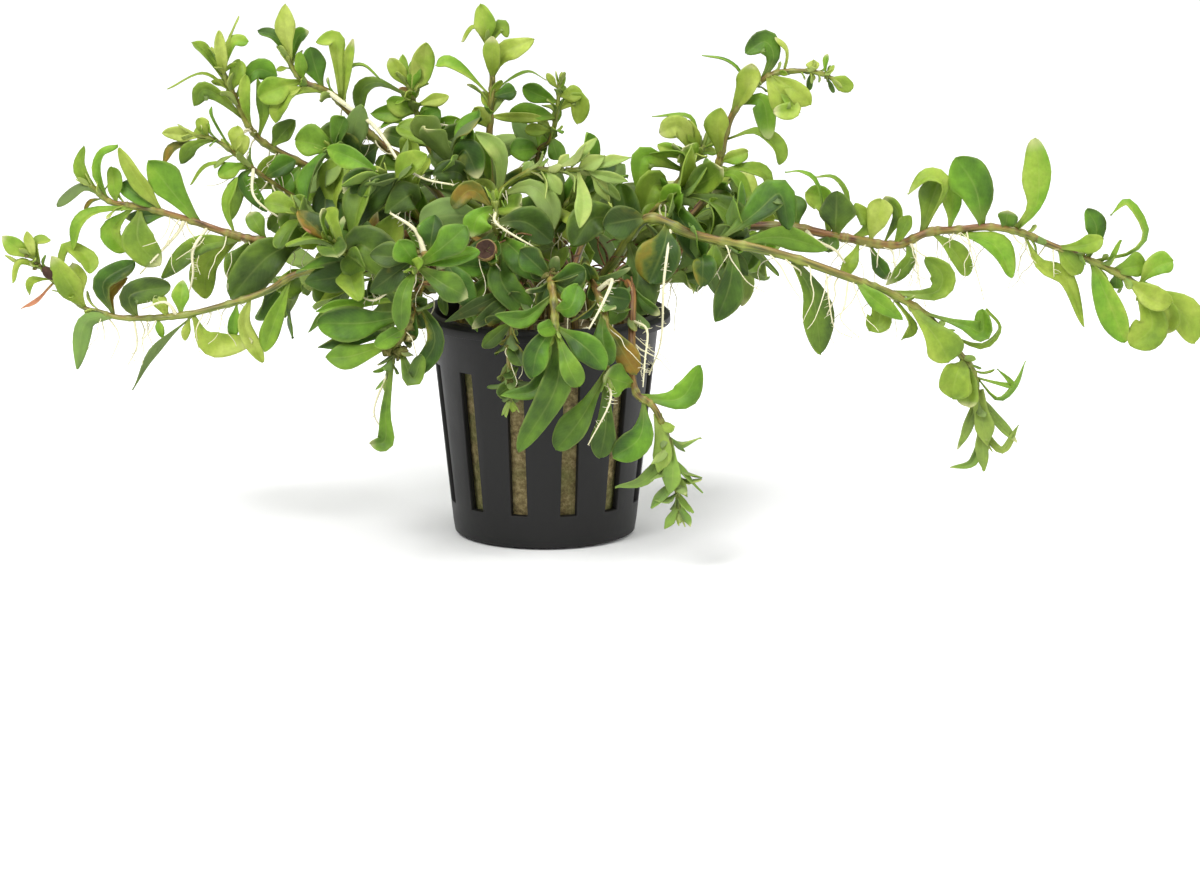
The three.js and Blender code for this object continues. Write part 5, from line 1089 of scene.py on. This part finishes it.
def stem_material():
    look = Look("stem_skin")
    age, upper, knot = look.attributes()
    # Long light and dark streaks down the stem: partly its own striping, partly painted glossy highlights
    drawn_out = look.node("Mapping")
    drawn_out.inputs["Scale"].default_value = (9, 14, 1)
    look.feed(drawn_out.inputs["Vector"], look.uv())
    lines = look.noise(1, 3, 0.5, drawn_out.outputs[0])
    streaks_and_sheen = look.ramp(lines, [(0.34, (1, 1, 1, 1)), (0.62, (0, 0, 0, 1))])
    green = look.mix(streaks_and_sheen, colour(126, 138, 50), colour(60, 80, 24))
    brown = look.mix(streaks_and_sheen, colour(140, 98, 54), colour(66, 34, 20))
    reddened = look.times(upper, 0.9, look.minus(age, 0.75))
    reddened = look.clamp(look.times(look.minus(look.noise(160), 0.5), 1.2, reddened))
    skin = look.mix(reddened, green, brown)
    look.set("Base Color", look.mix(look.times(knot, 0.5), skin, colour(138, 150, 66)))
    look.set("Roughness", 0.42)
    look.set("Specular IOR Level", 0.4)
    look.bump(streaks_and_sheen, 0.5, 0.0002)
    return look.material


def root_material():
    look = Look("root_skin")
    look.set("Base Color", look.mix(look.noise(300, 2), colour(228, 224, 198), colour(196, 190, 140)))
    look.set("Roughness", 0.5)
    look.set("Subsurface Weight", 0.3)
    look.set("Subsurface Radius", (0.001, 0.001, 0.0007))
    return look.material


def pith_material():
    look = Look("brown_pith")
    look.set("Base Color", look.mix(look.noise(1200, 4), colour(36, 24, 22), colour(78, 56, 42)))
    look.set("Roughness", 0.85)
    look.set("Specular IOR Level", 0.2)
    return look.material


def moss_material():
    look = Look("moss_crumbs")
    look.set("Base Color", look.ramp(look.noise(420, 4, 0.7), [
        (0.3, colour(58, 50, 26)),
        (0.45, colour(92, 96, 44)),
        (0.58, colour(120, 112, 66)),
        (0.7, colour(168, 164, 118)),
    ]))
    look.set("Roughness", 0.9)
    look.set("Specular IOR Level", 0.15)
    look.bump(look.noise(1800, 4, 0.7), 1, 0.0003)
    return look.material


def pot_material():
    look = Look("moulded_plastic")
    dust = look.noise(60, 4)
    look.set("Base Color", look.mix(look.times(dust, 0.35), colour(13, 13, 13), colour(40, 39, 37)))
    look.set("Roughness", look.times(dust, 0.3, 0.36))
    look.set("Specular IOR Level", 0.3)
    look.bump(look.noise(900), 0.25, 0.0001)
    return look.material


def wool_material():
    look = Look("mineral_wool")
    strands = look.noise(900, 6, 0.75)
    skin = look.ramp(strands, [
        (0.3, colour(70, 58, 36)),
        (0.5, colour(126, 112, 72)),
        (0.7, colour(172, 158, 112)),
    ])
    mossy = look.ramp(look.noise(110), [(0.45, (0, 0, 0, 1)), (0.65, (1, 1, 1, 1))])
    look.set("Base Color", look.mix(look.times(mossy, 0.6), skin, colour(84, 98, 42)))
    look.set("Roughness", 0.95)
    look.bump(strands, 1, 0.0006)
    return look.material


leaf_top = leaf_material("leaf_top", False)
leaf_under = leaf_material("leaf_under", True)
stem_skin = stem_material()
root_skin = root_material()
pith = pith_material()
moss = moss_material()
plastic = pot_material()
wool = wool_material()
STEM_MATERIALS = [stem_skin, root_skin, pith, moss]
STEM_SKIN, ROOT_SKIN, PITH, MOSS = range(4)


# The plant

def bud_leaves(stem, chance):
    """The tight young leaves at a stem's tip."""
    along = stem.tangent(1)
    across = square_to(along, axis_across(stem))
    tip = stem.point(1)
    leaves = []
    for i in range(BUD_LEAVES):
        outward = around(across, 2 * math.pi * (i / BUD_LEAVES + chance.uniform(-0.1, 0.1)))
        reach = chance.uniform(2.4, 4)
        run = (along + outward * chance.uniform(0.25, 0.7)).normalized()
        side = run.cross(along).normalized()
        base = tip - along * 0.8
        leaves.append({
            "midrib": Line([base, base + run * reach * 0.5, base + run * reach + along * 0.3]),
            "normal_at": lambda t, tangent, side=side: side.cross(tangent).normalized(),
            "width": chance.uniform(0.9, 1.5),
            "age": 0.1,
        })
    return leaves


def add_thread(bm, start, length, chance):
    """A fine white root that hangs and wanders from its start."""
    points = [start]
    heading = Vector((chance.uniform(-1, 1), chance.uniform(-1, 1), -0.6)).normalized()
    for _ in range(6):
        points.append(points[-1] + heading * (length * chance.uniform(0.1, 0.22)))
        turned = stray(chance, (-1, 1), (-1, 1), (-1, 0.5)) * 0.8
        heading = (heading + turned + Vector((0, 0, -0.2))).normalized()
    radius = chance.uniform(0.09, 0.2)
    add_tube(bm, Line(points), lambda t: lerp(radius, 0.06, t), 18, 4, material=ROOT_SKIN)


def add_root_hairs(bm, line, chance):
    """Short fine hairs that stand out all along a root."""
    for _ in range(max(6, round(line.length * 1.6))):
        t = chance.uniform(0.1, 1)
        tangent = line.tangent(t)
        run = stray(chance, (-1, 1), (-1, 1), (-1, 1))
        outward = (run - tangent * run.dot(tangent)).normalized()
        reach = chance.uniform(0.6, 1.5)
        start = line.point(t)
        bend = start + (outward + tangent * chance.uniform(-0.2, 0.4)) * (reach * 0.5)
        end = bend + (outward + tangent * chance.uniform(-0.5, 0.7)) * (reach * 0.5)
        add_tube(bm, Line([start, bend, end]), lambda t: lerp(0.06, 0.035, t), 5, 4, material=ROOT_SKIN)


def add_crumb(bm, spot, size, chance):
    """A small lump of moss, uneven all round."""
    made = bmesh.ops.create_icosphere(bm, subdivisions=2, radius=1)
    stretch = stray(chance, (0.6, 1.2), (0.6, 1.2), (0.5, 1))
    age_layer, tone_layer, _ = layers_of(bm)
    for vert in made["verts"]:
        rough = 1 + 0.9 * noise.noise(vert.co * 1.9 + spot)
        vert.co = spot + vert.co * stretch * (size * rough)
        vert[age_layer] = 0.5
        vert[tone_layer] = rough
    for face in {face for vert in made["verts"] for face in vert.link_faces}:
        face.material_index = MOSS


def add_stalk(bm, stem, chance):
    """A bare brown stalk near a shoot's foot whose leaf has dropped."""
    base = share_at(stem, chance.uniform(0.2, 1.6))
    outward = stray(chance, (-1, 1), (-1, 0.6), (-0.1, 0.9)).normalized()
    start = stem.point(base)
    bow = stray(chance, (-1, 1), (-1, 1), (0, 1)) * 1.4
    reach = chance.uniform(4, 9)
    line = Line([start, start + outward * (reach * 0.5) + bow, start + outward * reach])
    thick = chance.uniform(0.2, 0.38)
    add_tube(bm, line, lambda t: lerp(thick, thick * 0.6, t), 10, 5, lambda t: 1.2)


def leaves_of(name, shoot, stem, chance):
    """A shoot's leaves: the ones listed one by one, then its whorls, then the bud at its tip."""
    leaves = [placed_leaf(stem, leaf) for leaf in shoot["leaves"]]
    for i in FRESH_LEAVES.get(name, []):
        leaves[i]["fresh"] = FRESH_TONE
    whorl_age = WHORL_AGES.get(name, USUAL_WHORL_AGE)
    young_age, young_whorls = YOUNG_WHORLS.get(name, (0, []))
    old_whorls = OLD_WHORLS if name in FRONT_SHOOTS else []
    for rows, first_turn, age, drawing in [
            (shoot.get("whorls", []), 0, whorl_age, draw),
            (shoot.get("fill", []), 30, whorl_age, chance.random),
            (young_whorls, 15, young_age, chance.random), (old_whorls, 40, OLD_AGE, chance.random)]:
        for i, (station, length, width) in enumerate(rows):
            leaves += whorl(stem, station, length, width, WHORL_TURN * i + first_turn, age, drawing)
    if name != "cut_stem":
        leaves += bud_leaves(stem, chance)
    first_station, look = LEAF_LOOKS.get(name, [0, {}])
    for leaf in leaves:
        if leaf.get("station", first_station) >= first_station:
            leaf.update(look)
    return leaves


def grow_foliage(name, leaves, chance):
    """A shoot's leaves as one piece of thin blades, green on top and paler below."""
    bm = new_mesh()
    for leaf in leaves:
        add_leaf(bm, leaf, name in FRONT_SHOOTS, chance)
    foliage = finish_mesh(bm, f"leaves_{name}", [leaf_top, leaf_under], "shoot")
    shell = foliage.modifiers.new("thickness", "SOLIDIFY")
    shell.thickness = LEAF_THICKNESS * MM
    shell.offset = -1
    shell.material_offset = 1
    shell.material_offset_rim = 0


def grow_stem(name, shoot, stem, chance):
    """A shoot's stem as one piece with its roots, threads, bare stalks and crumbs."""
    bm = new_mesh()
    rows = shoot["leaves"] + shoot.get("whorls", []) + shoot.get("fill", [])
    knots = sorted({share_at(stem, row[0]) for row in rows})
    base_radius, tip_radius = shoot["radii"]

    def knot_at(t):
        return max((math.exp(-(((t - knot) * stem.length) / 0.7) ** 2) for knot in knots), default=0)

    def radius_at(t):
        return STEM_SLIM * lerp(base_radius, tip_radius, t) * (0.92 + 0.26 * knot_at(t))

    rows = max(12, round(stem.length / 0.7))
    oldest = STEM_AGES.get(name, USUAL_STEM_AGE)
    add_tube(bm, stem, radius_at, rows, 10, lambda t: lerp(oldest, 0.25, t ** 3), knot_at)
    for station, radius, *points in shoot.get("roots", []):
        line = Line([stem.point(share_at(stem, station)), *(place(p) for p in points)])
        slim = ROOT_SLIM * radius
        rows = max(10, round(line.length))
        add_tube(bm, line, lambda t, r=slim: lerp(r, r * 0.35, t), rows, 6, material=ROOT_SKIN)
        add_root_hairs(bm, line, hair_chance)
    for first, last, count, length in THREADS.get(name, THREADS["others"]):
        for _ in range(count):
            add_thread(bm, stem.point(share_at(stem, chance.uniform(first, last))), length, chance)
    for first, last, count, length in EXTRA_THREADS.get(name, []):
        for _ in range(count):
            add_thread(bm, stem.point(share_at(stem, hair_chance.uniform(first, last))), length, hair_chance)
    # A dark brown lump beside the stem, in the pith's colour
    if name in DARK_LUMPS:
        spot = place(DARK_LUMPS[name])
        ends = [spot + Vector((-1.1, 0, 1.1)), spot + Vector((0.9, 0, -1.1))]
        add_tube(bm, Line(ends), lambda t: 0.5 + 0.6 * math.sin(math.pi * t), 10, 10, material=PITH)
    for _ in range(BARE_STALKS):
        add_stalk(bm, stem, chance)
    first, last, count, largest = CRUMBS.get(name, [0, 0, 0, 0])
    for _ in range(count):
        size = chance.uniform(0.4, 1) * largest
        outward = stray(chance, (-1, 1), (-1, 0.3), (-1, 1)).normalized()
        spot = stem.point(share_at(stem, chance.uniform(first, last)))
        add_crumb(bm, spot + outward * (base_radius * 0.5 + size * 0.8), size, chance)
    if name == "cut_stem":
        add_cut_end(bm, stem, CUT_END_SLIM * tip_radius)
    bmesh.ops.recalc_face_normals(bm, faces=bm.faces)
    finish_mesh(bm, f"shoot_stem_{name}", STEM_MATERIALS, "shoot", f"shoot_{name}")


def add_cut_end(bm, stem, radius):
    """The sawn face of a thick old stem: a pale ring round a sunken brown middle."""
    age_layer, tone_layer, _ = layers_of(bm)
    tip, along = stem.point(1), stem.tangent(1)
    across = square_to(along, axis_across(stem))
    rings = [(0.001, -1.4), (0.7, -1.4), (1.36, -0.7), (1.4, 0.1), (1.34, 0.42), (1.2, 0.5), (1.1, 0.4),
             (0.6, 0.16), (0.001, 0.1)]
    bark_rows = 5
    rows = len(rings) - 1
    before = set(bm.faces)
    verts = grid(bm, 20, rows)
    in_pith = {}
    for vert, u, v in verts:
        row = round(v * rows)
        share, out = rings[row]
        angle = 2 * math.pi * u
        outward = around(across, angle)
        ragged = 0.12 * math.sin(5 * angle) + 0.08 * math.sin(11 * angle)
        vert.co = tip + outward * (share * radius) + along * (out + ragged * (row >= 3))
        vert[age_layer] = 0.9
        vert[tone_layer] = 0.6
        in_pith[vert] = row >= bark_rows
    for face in set(bm.faces) - before:
        face.material_index = PITH if all(in_pith[vert] for vert in face.verts) else STEM_SKIN
    weld(bm, verts, TUBE_WELD)


def cup_radius(height):
    """The outer radius of the pot's tapered wall."""
    return lerp(FOOT_RADIUS, WALL_TOP_RADIUS, height / (POT_HEIGHT - RIM_DROP))


def net_pot():
    """The pot's wall, floor and turned-down rim as one sheet with the slots left out."""
    columns = SECTOR_COLUMNS * SIDE_SLOTS
    wall_heights = [1, 3, 5, SIDE_SLOT_LOW, 14, 21, 28, SIDE_SLOT_HIGH, 38, 41, 43.4, POT_HEIGHT - 0.6]
    outer = RIM_RADIUS - WALL / 2
    floor_radii = (0.01, 3, FLOOR_SLOT_INNER, 10, FLOOR_SLOT_OUTER)
    profile = [(radius, FLOOR_MIDDLE, "floor") for radius in floor_radii]
    profile.append((16.4, FLOOR_MIDDLE, "wall"))
    profile += [(cup_radius(height) - WALL / 2, height, "wall") for height in wall_heights]
    profile += [(outer - 0.5, POT_HEIGHT - 0.65, "rim"), (outer, POT_HEIGHT - 1.1, "rim"),
                (outer, POT_HEIGHT - RIM_DROP + 0.1, "rim")]

    def turn_of(column, radius, part):
        sector, place_in = divmod(column, SECTOR_COLUMNS)
        if part == "floor":
            half = math.degrees(math.asin(min(FLOOR_SLOT_WIDTH / 2 / max(radius, 4), 1)))
            turns = [0, half, 11, 15, 19, 30 - half] if radius > 4 else [0, 5, 10, 15, 20, 25]
        else:
            half = math.degrees(math.asin(SIDE_SLOT_WIDTH / 2 / radius))
            turns = [0, 5, 15 - half, 15, 15 + half, 25]
        return math.radians(360 / SIDE_SLOTS * sector + turns[place_in])

    bm = new_mesh()
    slots = []
    rows = len(profile) - 1
    places = {}
    for vert, u, v in grid(bm, columns, rows):
        column, row = round(u * columns), round(v * rows)
        radius, height, part = profile[row]
        turn = turn_of(column % columns, radius, part)
        vert.co = Vector((math.cos(turn) * radius, math.sin(turn) * radius, height))
        places[vert] = (column, row)
    for face in bm.faces:
        column, row = (min(places[vert][i] for vert in face.verts) for i in (0, 1))
        low, high = profile[row], profile[row + 1]
        in_side = (low[1] >= SIDE_SLOT_LOW and high[1] <= SIDE_SLOT_HIGH
                   and column % SECTOR_COLUMNS in (2, 3))
        in_floor = (low[2] == high[2] == "floor" and low[0] >= FLOOR_SLOT_INNER
                    and column % (2 * SECTOR_COLUMNS) in (0, 11))
        if in_side or in_floor:
            slots.append(face)
    bmesh.ops.delete(bm, geom=slots, context="FACES")
    bmesh.ops.remove_doubles(bm, verts=bm.verts, dist=0.02)
    bmesh.ops.recalc_face_normals(bm, faces=bm.faces)
    pot = finish_mesh(bm, "slotted_pot", [plastic], "pot", "net_pot")
    wall = pot.modifiers.new("wall", "SOLIDIFY")
    wall.thickness = WALL * MM
    wall.offset = 0
    rounding = pot.modifiers.new("rounding", "BEVEL")
    rounding.width = POT_ROUNDING * MM
    rounding.segments = 2
    rounding.limit_method = "ANGLE"
    rounding.angle_limit = math.radians(40)


def wool_plug():
    """The plug that fills the pot, uneven on top and all round its side."""
    bm = new_mesh()

    def inner(height):
        return cup_radius(height) - WALL - GAP

    outline = [(0.01, WOOL_BOTTOM), (inner(WOOL_BOTTOM) - 0.4, WOOL_BOTTOM), (inner(5), 5)]
    outline += [(inner(height), height) for height in (12, 19, 26, 33, 40)]
    outline += [(inner(41.4) - 0.4, 41.6), (inner(42) - 1.6, 42.2), (14, 42.3)]
    outline += [(7, WOOL_TOP), (0.01, WOOL_TOP)]
    side = Line([Vector((radius, 0, height)) for radius, height in outline])
    for vert, u, v in grid(bm, 96, 60):
        spot = side.point(v)
        turn = 2 * math.pi * u
        rough, fine = (
            noise.noise(Vector((math.cos(turn) * size, math.sin(turn) * size, spot.z * rise + spot.x * rise)))
            for size, rise in ((3, 0.3), (9, 0.9)))
        dent = WOOL_DENT * abs(rough) + WOOL_FINE_DENT * abs(fine)
        radius = max(spot.x - dent, 0.01)
        height = spot.z - (1.6 * dent if v > 0.7 else 0)
        vert.co = Vector((math.cos(turn) * radius, math.sin(turn) * radius, height))
    bmesh.ops.remove_doubles(bm, verts=bm.verts, dist=0.03)
    bmesh.ops.recalc_face_normals(bm, faces=bm.faces)
    finish_mesh(bm, "mineral_wool_plug", [wool], "wool", "wool_plug")


# Leaves and threads draw from one row of random numbers, root hairs from another
chance = random.Random(11)
hair_chance = random.Random(5)
for name, route in INNER_ROUTES.items():
    leaves = INNER_LEAVES.get(name, [])
    SHOOTS[name] = {
        "route": route, "radii": INNER_RADII, "leaves": leaves, "fill": FILL_WHORLS,
        "whorls": INNER_WHORLS[1:] if leaves else INNER_WHORLS,
    }
for name, shoot in SHOOTS.items():
    stem = stem_line(shoot["route"])
    grow_foliage(name, leaves_of(name, shoot, stem, chance), chance)
    grow_stem(name, shoot, stem, chance)
net_pot()
wool_plug()


# Floor, light and camera

def floor():
    bm = bmesh.new()
    bmesh.ops.create_grid(bm, x_segments=8, y_segments=8, size=4)
    mesh = bpy.data.meshes.new("floor")
    bm.to_mesh(mesh)
    bm.free()
    look = Look("pale_floor")
    look.set("Base Color", look.mix(look.noise(3), (0.86, 0.86, 0.86, 1), (0.9, 0.9, 0.9, 1)))
    look.set("Roughness", 0.8)
    mesh.materials.append(look.material)
    piece = bpy.data.objects.new("floor", mesh)
    bpy.context.scene.collection.objects.link(piece)


def soft_light(name, spot, size, power):
    lamp = bpy.data.lights.new(name, "AREA")
    lamp.shape = "DISK"
    lamp.size = size
    lamp.energy = power
    piece = bpy.data.objects.new(name, lamp)
    piece.location = spot
    piece.rotation_euler = (Vector((0, 0, 0.06)) - Vector(spot)).to_track_quat("-Z", "Y").to_euler()
    bpy.context.scene.collection.objects.link(piece)


def camera():
    lens = bpy.data.cameras.new("camera")
    lens.lens = 150
    lens.sensor_width = 36
    lens.clip_start = 0.05
    piece = bpy.data.objects.new("camera", lens)
    piece.location = EYE * MM
    piece.rotation_euler = AHEAD.to_track_quat("-Z", "Y").to_euler()
    bpy.context.scene.collection.objects.link(piece)
    bpy.context.scene.camera = piece


floor()
soft_light("key", (-0.7, -0.9, 1.3), 0.9, 27)
soft_light("top", (0.3, 0.2, 1.5), 0.9, 14)
soft_light("fill", (1.1, -0.9, 0.7), 1.0, 8)
world = bpy.data.worlds.new("studio")
world.use_nodes = True
sky = world.node_tree.nodes["Background"]
sky.inputs["Color"].default_value = (1, 1, 1, 1)
sky.inputs["Strength"].default_value = 0.6
bpy.context.scene.world = world
bpy.context.scene.view_settings.view_transform = "Standard"
camera()
